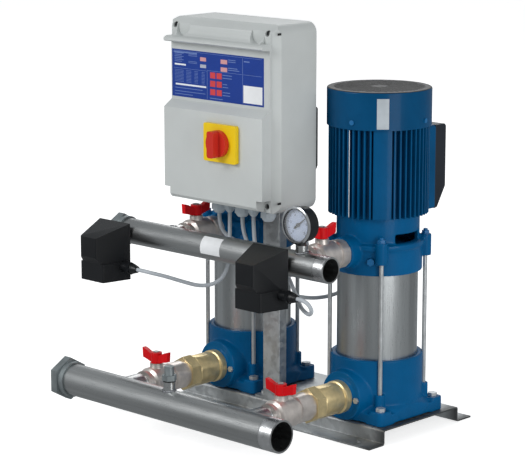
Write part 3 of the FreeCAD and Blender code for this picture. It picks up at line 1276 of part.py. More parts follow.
def gauge_dial():
    """Dial plate on the step in the case, with the movement block that holds the spindle."""
    face = V(GAUGE_X, gauge_front() + GAUGE_DIAL_SET, GAUGE_Z)
    plate = tube(GAUGE_BEZEL_R - 4 - FIT, SPINDLE_R + 0.5, face, BACK, 1.0)
    depth = GAUGE_DEPTH - 3 - GAUGE_DIAL_SET - 1
    movement = rod(MOVEMENT_R, face + V(0, 1.0, 0), BACK, depth)
    movement = movement.cut(rod(SPINDLE_R + RUN, face, BACK, depth - 3))
    return [plate, movement]


def gauge_pointer():
    face = V(GAUGE_X, gauge_front() + GAUGE_DIAL_SET, GAUGE_Z)
    blade = polygon([V(-POINTER_WIDTH, 0, -POINTER_TAIL), V(POINTER_WIDTH, 0, -POINTER_TAIL),
                     V(POINTER_WIDTH / 2, 0, 0), V(0.4, 0, POINTER_LENGTH), V(-0.4, 0, POINTER_LENGTH),
                     V(-POINTER_WIDTH / 2, 0, 0)]).extrude(V(0, 0.8, 0))
    blade.translate(V(0, -2.0, 0))
    hub = rod(3.5, V(0, -3.0, 0), BACK, 2.5)
    spindle = rod(SPINDLE_R, V(0, -1.0, 0), BACK, 13.0)
    pointer = spun(fused([blade, hub, spindle]), POINTER_ANGLE, V(0, 0, 0), Y)
    return moved([pointer], face)


def gauge_glass():
    place = V(GAUGE_X, gauge_front() + GAUGE_GLASS_SET, GAUGE_Z)
    return [rod(GAUGE_BEZEL_R - 4 - FIT, place, BACK, GAUGE_GLASS_THICK)]


def edges_in_front(shape, y):
    return [e for e in edges_along(shape, Z) if abs(e.Vertexes[0].Point.y - y) < 0.01]


def switch_shape(inset):
    """Outside of a switch cover about its nipple axis, or the hollow in it for a positive inset."""
    back = 0.01 if inset else 0.0
    half = SWITCH_WIDTH / 2 - inset
    nose = SWITCH_NOSE_WIDTH / 2 - inset
    low_half = SWITCH_LOW_WIDTH / 2 - inset
    front = -SWITCH_LENGTH + inset
    low_front = -SWITCH_LOW_LENGTH + inset
    tall = SWITCH_TOP + 10
    upper = polygon([V(-half, back, 0), V(half, back, 0), V(nose, front, 0), V(-nose, front, 0)])
    upper = upper.extrude(V(0, 0, tall + SWITCH_STEP_LOW + inset))
    upper = upper.makeFillet(SWITCH_ROUND - inset, edges_in_front(upper, front))
    upper.translate(V(0, 0, -SWITCH_STEP_LOW - inset))
    lower = polygon([V(-half, back, 0), V(half, back, 0),
                     V(low_half, low_front, 0), V(-low_half, low_front, 0)])
    lower = lower.extrude(V(0, 0, SWITCH_BOTTOM - SWITCH_STEP_LOW))
    lower = lower.makeFillet(SWITCH_ROUND - inset, edges_in_front(lower, low_front))
    lower.translate(V(0, 0, -SWITCH_BOTTOM - inset))
    side = polygon([V(-half, back, SWITCH_TOP - inset), V(-half, front, SWITCH_TOP_FRONT - inset),
                    V(-half, front, -SWITCH_STEP_HIGH + inset), V(-half, low_front, -SWITCH_STEP_LOW + inset),
                    V(-half, low_front, -SWITCH_BOTTOM + inset), V(-half, back, -SWITCH_BOTTOM + inset)])
    side = side.extrude(V(2 * half, 0, 0))
    return fused([upper, lower]).common(side)


def switch_places():
    """Back centre of each switch, and how far its nipple stands from that centre."""
    left = V(SWITCH_X_LEFT, SWITCH_Y, DISCHARGE_Z - SWITCH_DROP_LEFT)
    right = V(SWITCH_X_RIGHT, SWITCH_Y, DISCHARGE_Z)
    return [(left, SWITCH_NIPPLE_SHIFT, SWITCH_DROP_LEFT), (right, 0.0, 0.0)]


def switch_gland_start(place):
    return place + V(SWITCH_WIDTH / 2 - 7, -SWITCH_GLAND_BACK, -SWITCH_GLAND_DROP)


def switch_covers():
    covers = []
    for place, shift, rise in switch_places():
        shell = switch_shape(0).cut(switch_shape(SWITCH_WALL))
        shell.translate(place)
        covers.append(shell.cut(rod(SWITCH_GLAND_R + FIT, switch_gland_start(place), X, 20)))
    return covers


def switch_bodies():
    """Base plate, contact block, pipe nipple and cable gland of both pressure switches."""
    solids = []
    inner = SWITCH_WALL + GAP
    low = -SWITCH_BOTTOM + inner
    for place, shift, rise in switch_places():
        plate = block(-SWITCH_WIDTH / 2 + inner + 1, SWITCH_WIDTH / 2 - inner - 1, -SWITCH_PLATE, 0, low,
                      SWITCH_TOP - inner - 2)
        frame = block(-22, 12, -44, -SWITCH_PLATE + 1, low, 8)
        nipple = rod(SWITCH_NIPPLE_R, V(shift, 0, rise), BACK, SWITCH_BACK_GAP + DISCHARGE_PIPE_WALL)
        shoulder = hexagon(2 * SWITCH_NIPPLE_R + 3, V(shift, 0, rise), BACK, SWITCH_BACK_GAP - 3 - FIT)
        body = fused([plate, frame, nipple, shoulder])
        solids += moved([body], place)
        start = switch_gland_start(place)
        barrel = rod(SWITCH_GLAND_R, start, X, SWITCH_GLAND_LENGTH - 10)
        collar = hexagon(2 * SWITCH_GLAND_R + 2, start + V(20, 0, 0), X, 7)
        nose_start = start + V(SWITCH_GLAND_LENGTH - 10, 0, 0)
        nose = Part.makeCone(SWITCH_GLAND_R, SWITCH_GLAND_R - 3, 10, nose_start, X)
        solids.append(fused([barrel, collar, nose]))
    return solids


def panel_corners():
    """X and Z of the four cover screws."""
    return [(x, z) for x in (PANEL_LEFT + COVER_HOLE_INSET, PANEL_RIGHT - COVER_HOLE_INSET)
            for z in (PANEL_LOW + COVER_HOLE_RISE, PANEL_HIGH - COVER_HOLE_RISE)]


def gland_places():
    """X, depth, body radius and length of the glands under the panel, with the supply gland last."""
    places = []
    for place, large in zip(GLAND_PLACES, (True, False, True, False)):
        radius = GLAND_LARGE_R if large else GLAND_SMALL_R
        places.append((PANEL_LEFT + place, radius, GLAND_LENGTH if large else GLAND_SMALL_LENGTH))
    places.append((PANEL_LEFT + SUPPLY_GLAND_PLACE, GLAND_LARGE_R, GLAND_LENGTH))
    return places


def panel_back():
    box = rounded_block(PANEL_LEFT, PANEL_RIGHT, PANEL_SEAM_Y, PANEL_BACK_Y, PANEL_LOW, PANEL_HIGH,
                        PANEL_ROUND, Y)
    box = box.cut(rounded_block(PANEL_LEFT + PANEL_WALL, PANEL_RIGHT - PANEL_WALL, PANEL_SEAM_Y - 1,
                                PANEL_BACK_Y - PANEL_WALL, PANEL_LOW + PANEL_WALL, PANEL_HIGH - PANEL_WALL,
                                PANEL_ROUND - PANEL_WALL, Y))
    pillars = []
    for x, z in panel_corners():
        pillars.append(rod(PILLAR_SCREW_R, V(x, PANEL_BACK_Y - 1, z), FRONT, PANEL_BOX_DEPTH - 1))
    box = fused([box] + pillars)
    for x, z in panel_corners():
        box = box.cut(rod(PANEL_SCREW_R + FIT, V(x, PANEL_SEAM_Y - 1, z), BACK, 31))
    for height in panel_screw_heights():
        box = box.cut(rod(POST_BOLT_R + FIT, V(POST_X, PANEL_BACK_Y + 1, height), FRONT, PANEL_WALL + 2))
    for x, radius, length in gland_places():
        box = box.cut(rod(radius - GLAND_SHOULDER + FIT, V(x, GLAND_Y, PANEL_LOW - 1), Z, PANEL_WALL + 2))
    return [box]


def cover_shape(inset):
    """Outside of the panel's front, from its plan and its side profile; the hollow for an inset."""
    seam = PANEL_SEAM_Y + (0.01 if inset else 0)
    rim = PANEL_SEAM_Y - COVER_RIM
    face = PANEL_FACE_Y + inset
    label = PANEL_FACE_Y + LABEL_SET + inset
    left = PANEL_LEFT + inset
    right = PANEL_RIGHT - inset
    bevel = COVER_BEVEL
    shoulder = PANEL_SEAM_Y - COVER_SHOULDER + inset
    plan = polygon([V(left, seam, 0), V(right, seam, 0), V(right, rim, 0), V(right - bevel, shoulder, 0),
                    V(right - bevel, face, 0), V(left + bevel, face, 0), V(left + bevel, shoulder, 0),
                    V(left, rim, 0)])
    plan = plan.extrude(V(0, 0, PANEL_HIGH - PANEL_LOW))
    plan.translate(V(0, 0, PANEL_LOW))
    low = PANEL_LOW + inset
    high = PANEL_HIGH - inset
    neck = PANEL_SEAM_Y - VISOR_SET + inset
    outline = [V(0, seam, low), V(0, rim - 1 + inset, low), V(0, face + 5, low + 8),
               V(0, face, low + 14), V(0, face, LABEL_STEP - inset), V(0, label, LABEL_LOW - inset),
               V(0, label, LABEL_HIGH + inset)]
    if not inset:
        outline += [V(0, face + out, LABEL_HIGH + up) for out, up in VISOR_BRIM]
    outline += [V(0, neck, VISOR_TOP - inset), V(0, rim + inset, high - COVER_CHAMFER), V(0, seam, high)]
    side = polygon(outline)
    side = side.extrude(V(PANEL_RIGHT - PANEL_LEFT, 0, 0))
    side.translate(V(PANEL_LEFT, 0, 0))
    ends = rounded_block(left, right, face - 1, seam, low, high, PANEL_ROUND - inset, Y)
    shape = plan.common(side).common(ends)
    flange = PANEL_SEAM_Y - CORNER_FLANGE + inset
    reach = CORNER_CUT + inset
    upper = PANEL_HIGH - TOP_CORNER_CUT - inset
    for x0, x1 in ((PANEL_LEFT - 1, PANEL_LEFT + reach), (PANEL_RIGHT - reach, PANEL_RIGHT + 1)):
        for z0, z1 in ((PANEL_LOW - 1, PANEL_LOW + reach), (upper, PANEL_HIGH + 1)):
            shape = shape.cut(block(x0, x1, face - 1, flange, z0, z1))
    scoop = PANEL_SEAM_Y - SCOOP_DEPTH + inset
    for x in (PANEL_LEFT + SCOOP_PLACE, PANEL_RIGHT - SCOOP_PLACE):
        shape = shape.cut(rod(SCOOP_R + inset, V(x, scoop, PANEL_HIGH - SCOOP_RISE), FRONT, COVER_DEPTH))
    return shape


def panel_cover():
    outside = cover_shape(0)
    cover = outside.cut(cover_shape(PANEL_WALL))
    bosses = []
    for x, z in panel_corners():
        bosses.append(rod(PILLAR_SCREW_R, V(x, PANEL_SEAM_Y, z), FRONT, COVER_BOSS).common(outside))
    cover = fused([cover] + bosses)
    for x, z in panel_corners():
        cover = cover.cut(rod(PANEL_SCREW_R + 0.3, V(x, PANEL_SEAM_Y + 1, z), FRONT, 60))
        cover = cover.cut(rod(PANEL_SCREW_HEAD_R + 0.5, V(x, PANEL_SEAM_Y - COVER_SCREW_SEAT, z), FRONT, 60))
    hole = rod(KNOB_SHAFT_R + GAP, V(SWITCH_PLATE_X, PANEL_SEAM_Y, SWITCH_PLATE_Z), FRONT, 60)
    return [cover.cut(hole)]


def panel_screws():
    screws = []
    for x, z in panel_corners():
        seat = V(x, PANEL_SEAM_Y - COVER_SCREW_SEAT, z)
        shank = rod(PANEL_SCREW_R, seat, BACK, COVER_SCREW_SEAT + 28)
        screws.append(shank.fuse(rod(PANEL_SCREW_HEAD_R, seat, FRONT, 2.5)).removeSplitter())
    return screws


def panel_electronics():
    """Mounting plate with its devices, the main switch block and the board behind the label."""
    wall = PANEL_BACK_Y - PANEL_WALL
    plate_back = wall - BOARD_GAP
    plate_front = plate_back - BOARD_THICK
    left = PANEL_LEFT + PLATE_INSET
    right = PANEL_RIGHT - PLATE_INSET
    low = PANEL_LOW + PLATE_INSET
    high = PANEL_HIGH - PLATE_INSET
    plate = block(left, right, plate_front, plate_back, low, high)
    feet = []
    for x in (left + 8, right - 8):
        for z in (low + 8, high - 8):
            feet.append(rod(4, V(x, wall, z), FRONT, BOARD_GAP + 1))
    blocks = []
    for place, width, depth, height, tall in DEVICES:
        x0 = PANEL_LEFT + place
        z0 = PANEL_LOW + height
        blocks.append(block(x0, x0 + width, plate_front - depth, plate_front, z0, z0 + tall))
    half = SWITCH_BLOCK_SIDE / 2
    block_front = PANEL_BACK_Y - SWITCH_BLOCK_FRONT
    blocks.append(block(SWITCH_PLATE_X - half, SWITCH_PLATE_X + half, block_front, plate_front,
                        SWITCH_PLATE_Z - half, SWITCH_PLATE_Z + half))
    assembly = fused([plate] + feet + blocks)
    axis = V(SWITCH_PLATE_X, block_front - 1, SWITCH_PLATE_Z)
    assembly = assembly.cut(rod(KNOB_SHAFT_R + RUN, axis, BACK, 21))
    for height in panel_screw_heights():
        assembly = assembly.cut(rod(12, V(POST_X, wall + 1, height), FRONT, 12))
    inside = PANEL_FACE_Y + LABEL_SET + PANEL_WALL
    board_left = PANEL_LEFT + BOARD_INSET
    board_right = PANEL_RIGHT - BOARD_INSET
    board = block(board_left, board_right, inside + BOARD_STANDOFF, inside + BOARD_STANDOFF + BOARD_THICK,
                  LABEL_LOW + 8, LABEL_HIGH - 8)
    posts = []
    for x in (board_left + 7, board_right - 7):
        for z in (LABEL_LOW + 15, LABEL_HIGH - 15):
            posts.append(rod(3, V(x, inside, z), BACK, BOARD_STANDOFF + 1))
    return [assembly, fused([board] + posts)]


def isolator_plate():
    half = SWITCH_PLATE_WIDTH / 2
    tall = SWITCH_PLATE_TALL / 2
    front = PANEL_FACE_Y - SWITCH_PLATE_THICK
    plate = rounded_block(SWITCH_PLATE_X - half, SWITCH_PLATE_X + half, front, PANEL_FACE_Y,
                          SWITCH_PLATE_Z - tall, SWITCH_PLATE_Z + tall, 4.0, Y)
    axis = V(SWITCH_PLATE_X, front - 1, SWITCH_PLATE_Z)
    return [plate.cut(rod(KNOB_SHAFT_R + FIT, axis, BACK, SWITCH_PLATE_THICK + 2))]


def isolator_knob():
    """Round disc with an upright grip across it, on a shaft that reaches the switch block."""
    front = PANEL_FACE_Y - SWITCH_PLATE_THICK - GAP
    axis = V(SWITCH_PLATE_X, front, SWITCH_PLATE_Z)
    disc = rod(KNOB_R, axis, FRONT, KNOB_DISC)
    reach = PANEL_BACK_Y - SWITCH_BLOCK_FRONT + 15 - front
    shaft = rod(KNOB_SHAFT_R, axis, BACK, reach)
    half = KNOB_GRIP_WIDTH / 2
    tall = KNOB_R - 0.5
    tip = front - KNOB_DISC - KNOB_GRIP
    grip = rounded_block(axis.x - half, axis.x + half, tip, front - KNOB_DISC / 2,
                         axis.z - tall, axis.z + tall, 5.0, Y)
    grip = grip.common(rod(KNOB_R, axis, FRONT, KNOB_DISC + KNOB_GRIP))
    return [fused([disc, shaft, grip])]


def gland(start, direction, radius, length, bore=0.0):
    """Threaded stub, hexagon and domed nut; the start point lies on the wall it is screwed into."""
    neck = radius - GLAND_SHOULDER
    body = turned([(0, -GLAND_THREAD), (neck, -GLAND_THREAD), (neck, 0), (radius - 1, 0),
                   (radius - 1, length - 8), (radius - 3, length - 3), (radius - 6, length), (0, length)],
                  start, direction)
    nut = hexagon(2 * radius - 1.5, start, direction, GLAND_NUT)
    clamp = hexagon(2 * radius - 2.2, start + direction * (GLAND_NUT + 2), direction, length - GLAND_NUT - 9)
    body = fused([body, nut, clamp])
    if bore:
        below = start - direction * (GLAND_THREAD + 1)
        body = body.cut(rod(bore, below, direction, length + GLAND_THREAD + 2))
    return body


def terminal_gland_places():
    low = HEAD_TOP + TERMINAL_LOW
    return [V(side * PUMP_X, PUMP_Y + terminal_gland_depth(), low) for side in (-1, 1)]


def cable_glands():
    solids = []
    for x, radius, length in gland_places():
        bore = SUPPLY_BORE_R if x == PANEL_LEFT + SUPPLY_GLAND_PLACE else 0.0
        solids.append(gland(V(x, GLAND_Y, PANEL_LOW), DOWN, radius, length, bore))
    for place in terminal_gland_places():
        solids.append(gland(place, DOWN, GLAND_SMALL_R, GLAND_SMALL_LENGTH))
    return solids


def bends(points):
    """Start, middle and end of the arc at each inner point of a route, with its radius."""
    arcs = []
    for before, corner, after in zip(points, points[1:], points[2:]):
        into = corner - before
        out = after - corner
        shorter = min(into.Length, out.Length)
        into.normalize()
        out.normalize()
        turn = math.acos(max(-1.0, min(1.0, into.dot(out))))
        back_off = 0.45 * shorter
        radius = back_off / math.tan(turn / 2)
        start = corner - into * back_off
        end = corner + out * back_off
        inward = out - into
        inward.normalize()
        centre = corner + inward * (radius / math.cos(turn / 2))
        middle = centre - inward * radius
        arcs.append((start, middle, end, radius, math.degrees(turn)))
    return arcs


def cable(points):
    """A round cable swept along straight runs that are joined by arcs."""
    edges = []
    last = points[0]
    for start, middle, end, radius, turn in bends(points):
        edges.append(Part.makeLine(last, start))
        edges.append(Part.Arc(start, middle, end).toShape())
        last = end
    edges.append(Part.makeLine(last, points[-1]))
    spine = Part.Wire(edges)
    direction = points[1] - points[0]
    direction.normalize()
    profile = Part.Wire(Part.Circle(points[0], direction, CABLE_R).toShape())
    swept = spine.makePipeShell([profile], True, False)
    return [swept]


def gland_mouth(index):
    x, radius, length = gland_places()[index]
    return V(x, GLAND_Y, PANEL_LOW - length)


def switch_mouth(index):
    place = switch_places()[index][0]
    return switch_gland_start(place) + V(SWITCH_GLAND_LENGTH, 0, 0)


def terminal_mouth(index):
    return terminal_gland_places()[index] - V(0, 0, GLAND_SMALL_LENGTH)


def route(start, offsets, end, direction):
    """Gland to gland, leaving the panel straight down and entering the far gland straight."""
    step = (end - start) * (1 / (len(offsets) + 1))
    inner = [start + step * (i + 1) + V(*offset) for i, offset in enumerate(offsets)]
    return [start, start + DOWN * GLAND_RUN] + inner + [end + direction * GLAND_RUN, end]


def cable_routes():
    return {
        "left_switch_cable": route(gland_mouth(1), LEFT_SWITCH_CABLE, switch_mouth(0), X),
        "right_switch_cable": route(gland_mouth(0), RIGHT_SWITCH_CABLE, switch_mouth(1), X),
        "left_motor_cable": route(gland_mouth(3), LEFT_MOTOR_CABLE, terminal_mouth(0), DOWN),
        "right_motor_cable": route(gland_mouth(2), RIGHT_MOTOR_CABLE, terminal_mouth(1), DOWN),
    }


NODES = {
    "base_plate": base_plate,
    "upright_post": upright_post,
    "frame_bolts": lambda: frame_bolts() + panel_screws(),
    "tie_rods": tie_rods,
    "pump_jackets": pump_jackets,
    "pump_diffusers": pump_diffusers,
    "motor_stators": motor_stators,
    "shaft_bearings": shaft_bearings,
    "fan_covers": fan_covers,
    "terminal_boxes": terminal_boxes,
    "terminal_lids": terminal_lids,
    "seal_rings": seal_rings,
    "check_valve_bodies": check_valve_bodies,
    "suction_manifold": suction_manifold,
    "discharge_manifold": discharge_manifold,
    "manifold_caps": manifold_caps,
    "gauge_case": gauge_case,
    "gauge_dial": gauge_dial,
    "gauge_pointer": gauge_pointer,
    "gauge_glass": gauge_glass,
    "switch_covers": switch_covers,
    "switch_bodies": switch_bodies,
    "panel_back": panel_back,
    "panel_cover": panel_cover,
    "panel_electronics": panel_electronics,
    "isolator_plate": isolator_plate,
    "isolator_knob": isolator_knob,
    "cable_glands": cable_glands,
}
for cord, points in cable_routes().items():
    NODES[cord] = lambda points=points: cable(points)
for side_name, side in (("left", -1), ("right", 1)):
    NODES[side_name + "_pump_base"] = lambda side=side: pump_base(side)
    NODES[side_name + "_pump_head"] = lambda side=side: pump_head(side)
    NODES[side_name + "_rotor_shaft"] = lambda side=side: rotor_shaft(side)
    NODES[side_name + "_impellers"] = lambda side=side: impellers(side)
    NODES[side_name + "_motor_housing"] = lambda side=side: motor_housing(side)
    NODES[side_name + "_cooling_fan"] = lambda side=side: cooling_fan(side)
    NODES[side_name + "_check_disc"] = lambda side=side: check_valve_disc(side)
    NODES[side_name + "_check_spring"] = lambda side=side: check_spring(side)
    for kind in ("suction", "discharge"):
        name = side_name + "_" + kind
        NODES[name + "_valve_body"] = lambda side=side, kind=kind: valve_body(side, kind)
        NODES[name + "_valve_ball"] = lambda side=side, kind=kind: valve_ball(side, kind)
        NODES[name + "_valve_handle"] = lambda side=side, kind=kind: valve_handle(side, kind)


def save(name, solids):
    good = [s for shape in solids for s in solids_of(shape)]
    for solid in good:
        if not solid.isValid() or solid.Volume <= 0:
            print("check this solid:", name, round(solid.Volume, 2))
    Part.makeCompound(good).exportStep("parts/" + name + ".step")
    print(name, len(good), round(sum(s.Volume for s in good) / 1000, 2), "cm3")


def report_cables():
    for name, points in cable_routes().items():
        runs = [(b - a).Length for a, b in zip(points, points[1:])]
        radii = [arc[3] for arc in bends(points)]
        turns = [arc[4] for arc in bends(points)]
        print(name, "runs", [round(r, 1) for r in runs])
        print(name, "bend radii", [round(r, 1) for r in radii], "turns", [round(t) for t in turns])


os.makedirs("parts", exist_ok=True)
for node, make in NODES.items():
    save(node, make())
report_cables()
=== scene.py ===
import json
import math

import bmesh
import bpy
import numpy as np
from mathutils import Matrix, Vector

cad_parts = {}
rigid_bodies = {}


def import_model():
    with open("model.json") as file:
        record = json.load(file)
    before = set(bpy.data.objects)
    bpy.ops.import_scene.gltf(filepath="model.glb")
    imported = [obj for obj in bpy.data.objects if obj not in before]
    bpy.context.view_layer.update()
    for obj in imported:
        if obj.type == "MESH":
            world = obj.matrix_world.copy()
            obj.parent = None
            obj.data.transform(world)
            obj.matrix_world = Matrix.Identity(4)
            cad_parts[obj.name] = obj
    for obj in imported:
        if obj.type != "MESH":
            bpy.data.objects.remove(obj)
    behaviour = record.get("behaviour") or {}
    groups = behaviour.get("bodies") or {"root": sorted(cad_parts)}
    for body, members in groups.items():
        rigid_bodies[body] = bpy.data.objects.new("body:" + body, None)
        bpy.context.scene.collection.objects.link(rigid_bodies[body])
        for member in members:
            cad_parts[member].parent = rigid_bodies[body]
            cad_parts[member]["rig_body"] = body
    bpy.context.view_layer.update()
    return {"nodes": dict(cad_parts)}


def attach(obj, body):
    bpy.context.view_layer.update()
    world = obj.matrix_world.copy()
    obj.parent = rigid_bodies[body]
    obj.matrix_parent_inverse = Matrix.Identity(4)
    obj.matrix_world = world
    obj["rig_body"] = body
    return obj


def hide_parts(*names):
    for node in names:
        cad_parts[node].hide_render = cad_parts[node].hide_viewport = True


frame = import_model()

bl_info = {
    "name": "Booster pump set",
    "version": (1, 0, 0),
    "blender": (4, 5, 0),
    "location": "3D View > Sidebar > Booster",
    "description": "Dresses the packed frame of a twin booster pump with its pieces and finishes",
    "category": "Object",
}

NODES = frame["nodes"]
SLOTS = {name: node.data.materials[0].name for name, node in NODES.items()}

# Places and sizes of the CAD model, in metres
X_AXIS = (1, 0, 0)
Y_AXIS = (0, 1, 0)
Z_AXIS = (0, 0, 1)
FRONT = (0, -1, 0)
PUMPS = {"left": -0.1615, "right": 0.1615}
PUMP_Y = -0.013
ROD_REACH = 0.0625
ROD_NUT_Z = 0.3675
SUCTION_PIPE = (-0.37855, 0.0765, 0.03015)
DISCHARGE_PIPE = (-0.240, 0.3465, 0.02415)
SOCKET_R = 0.0222
PLUG_SOCKET = (-0.019, 0.0109)
GAUGE_SOCKET = (0.1785, 0.0112)
NIPPLE_R = 0.0166
STEM_Y = {"suction": -0.2754, "discharge": -0.168}
LEVER_RISE = 0.0555
FAN_COVER_R = 0.0965
FIN_R = 0.093
GRILLE_Z = 0.6418
PANEL_RIGHT_X = 0.0945
LABEL_Y = -0.221
LABEL_BOX = (-0.1681, 0.0677, 0.6154, 0.7035)
GAUGE = (0.1785, -0.257, 0.420)
DIAL_DEPTH = 0.0085
POINTER_DEPTH = 0.0062
POINTER_LEAN = 52

# Screws that are painted over, each as lowest height and span of Y; those in the middle, as far out as
# POST_HALF, hold the post and stay bare
FAN_COVER_SCREWS = (0.57, -0.12, 0.1)
ROD_NUTS = (ROD_NUT_Z, -0.08, 0.06)
VENT_PLUGS = (0.31, -0.14, -0.08)
PANEL_SCREWS = (0.42, -0.23, -0.19)
POST_HALF = 0.06

# Rounding of the edges of pieces that have no size of their own in the sidebar
EDGES = {
    "terminal_boxes": 0.0012,
    "terminal_lids": 0.004,
    "isolator_plate": 0.001,
    "isolator_knob": 0.0018,
    "cable_glands": 0.0005,
    "switch_covers": 0.0022,
    "switch_bodies": 0.0005,
    "valve_handle": 0.0014,
    "valve_body": 0.0006,
    "check_valve_bodies": 0.0006,
    "manifold_caps": 0.0008,
    "frame_bolts": 0.0004,
    "tie_rods": 0.0003,
}

# Camera, sky, floor and lamps
CAMERA_PLACE = (2.6643, -2.9421, 1.1477)
CAMERA_TARGET = (-0.1973, 0.0525, 0.3048)
CAMERA_LENS = 145.13
WHITE = (1, 1, 1, 1)
STUDIO_TINT = (0.93, 0.97, 1.0, 1)
SKY_TINT = (0.95, 0.98, 1.0, 1)
SKY_STRENGTH = 0.42
FLOOR_TINT = (0.82, 0.82, 0.82, 1)
FLOOR_GLOW = 0.66
FLOOR_IN_METAL = 0.29
FLOOR_REACH = 30
FLOOR_DROP = 0.0005
LAMPS = {
    "key": ((-1.2, -3.8, 2.6), (0, -0.1, 0.4), 1.8, 92.0),
    "fill": ((3.8, -0.2, 1.9), (0, 0, 0.4), 1.6, 30.0),
    "low": ((1.75, -0.5, 0.45), (0, 0, 0.3), 0.8, 6.2),
    "back": ((-2.6, 3.0, 2.8), (0, 0, 0.4), 1.8, 30.0),
}


def srgb(red, green, blue):
    """A colour typed as 0 to 255 screen values, as the linear values that shaders take."""
    screen = np.array([red, green, blue]) / 255
    linear = np.where(screen <= 0.04045, screen / 12.92, ((screen + 0.055) / 1.055) ** 2.4)
    return (*[float(value) for value in linear], 1.0)


# Properties

def colour(name, description, default):
    return bpy.props.FloatVectorProperty(name=name, description=description, default=default, size=4,
                                         min=0.0, max=1.0, subtype="COLOR")


def length(name, description, default):
    return bpy.props.FloatProperty(name=name, description=description, default=default, min=0.0,
                                   unit="LENGTH", subtype="DISTANCE", precision=5)


class BoosterColours(bpy.types.PropertyGroup):
    """Colours of the paints, plastics and metals"""
    blue: colour("Blue enamel", "Paint of the pump castings and motors", srgb(0, 97, 152))
    panel: colour("Panel grey", "Plastic of the control panel", srgb(191, 195, 194))
    label: colour("Label blue", "Printed sheet on the panel", srgb(16, 56, 142))
    red: colour("Handle red", "Paint of the valve handles", srgb(214, 24, 30))
    yellow: colour("Plate yellow", "Plate behind the main switch", srgb(233, 198, 22))
    black: colour("Cover black", "Plastic of the pressure switches", srgb(22, 24, 27))
    cable: colour("Cable grey", "Sheath of the cables", srgb(178, 184, 190))
    steel: colour("Stainless", "Ground stainless of the jackets", srgb(209, 213, 214))
    zinc: colour("Zinc", "Galvanised sheet and bolts", srgb(186, 189, 190))
    pipe: colour("Pipe", "Header pipes", srgb(190, 192, 192))
    nickel: colour("Nickel", "Plated valve bodies", srgb(222, 214, 208))
    brass: colour("Brass", "Check valves", srgb(238, 216, 164))


class BoosterSizes(bpy.types.PropertyGroup):
    """Sizes of the added detail"""
    cable: length("Cable", "Diameter of the cables", 0.0075)
    plastic_edge: length("Plastic edge", "Rounding of moulded edges", 0.0022)
    metal_edge: length("Metal edge", "Rounding of pressed and machined edges", 0.0005)
    cast_voxel: length("Cast grain", "Cell size that the castings are softened with", 0.0018)
    thread_pitch: length("Thread pitch", "Pitch of the pipe threads", 0.0023)
    weld: length("Weld", "Half width of the weld beads", 0.0022)
    washer: length("Washer", "Thickness of the flat washers", 0.0014)


def colours():
    return bpy.context.scene.booster_colours


def sizes():
    return bpy.context.scene.booster_sizes


# Shader maths

class Wire:
    """A socket; an expression on it adds its Math nodes."""

    def __init__(self, finish, socket):
        self.finish = finish
        self.socket = socket

    def maths(self, operation, *terms):
        return self.finish.node("ShaderNodeMath", {"operation": operation}, dict(enumerate(terms)))

    def __add__(self, other):
        return self.maths("ADD", self, other)

    def __sub__(self, other):
        return self.maths("SUBTRACT", self, other)

    def __rsub__(self, other):
        return self.maths("SUBTRACT", other, self)

    def __mul__(self, other):
        return self.maths("MULTIPLY", self, other)

    def __truediv__(self, other):
        return self.maths("DIVIDE", self, other)

    def __gt__(self, other):
        return self.maths("GREATER_THAN", self, other)

    def __lt__(self, other):
        return self.maths("LESS_THAN", self, other)

    __radd__ = __add__
    __rmul__ = __mul__


class Finish:
    """A material in the making: one Principled shader, and the nodes that feed it."""

    def __init__(self, name, **constants):
        self.material = bpy.data.materials.new(name)
        self.material.use_nodes = True
        self.tree = self.material.node_tree
        self.shader = self.tree.nodes["Principled BSDF"]
        for socket, value in constants.items():
            self.shader.inputs[socket.replace("_", " ")].default_value = value

    def node(self, kind, settings, values, output=0):
        made = self.tree.nodes.new(kind)
        for key, value in settings.items():
            setattr(made, key, value)
        for key, value in values.items():
            if isinstance(value, Wire):
                self.tree.links.new(value.socket, made.inputs[key])
            else:
                made.inputs[key].default_value = value
        return Wire(self, made.outputs[output])

    def place(self, stretch):
        """The point on the object, stretched along its axes."""
        here = self.node("ShaderNodeTexCoord", {}, {}, "Object")
        return self.node("ShaderNodeMapping", {}, {"Vector": here, "Scale": stretch})

    def axis(self, letter):
        here = self.node("ShaderNodeTexCoord", {}, {}, "Object")
        return self.node("ShaderNodeSeparateXYZ", {}, {0: here}, letter)

    def noise(self, scale, detail, rough=0.55, stretch=(1, 1, 1)):
        return self.node("ShaderNodeTexNoise", {}, {"Vector": self.place(stretch), "Scale": scale,
                                                    "Detail": detail, "Roughness": rough})

    def spread(self, value, low, high, to_low=0.0, to_high=1.0):
        """Value from low..high carried to to_low..to_high, and held there."""
        return self.node("ShaderNodeMapRange", {"clamp": True},
                         {"Value": value, "From Min": low, "From Max": high,
                          "To Min": to_low, "To Max": to_high})

    def mix(self, factor, first, second):
        return self.node("ShaderNodeMix", {"data_type": "RGBA"}, {0: factor, 6: first, 7: second}, 2)

    def bump(self, height, distance):
        return self.node("ShaderNodeBump", {}, {"Height": height, "Distance": distance})

    def feed(self, **links):
        for socket, value in links.items():
            target = self.shader.inputs[socket.replace("_", " ")]
            if isinstance(value, Wire):
                self.tree.links.new(value.socket, target)
            else:
                target.default_value = value
        return self.material


def shade(tint, factor):
    """A colour made darker or lighter by a factor."""
    return (*[min(1.0, value * factor) for value in tint[:3]], 1.0)


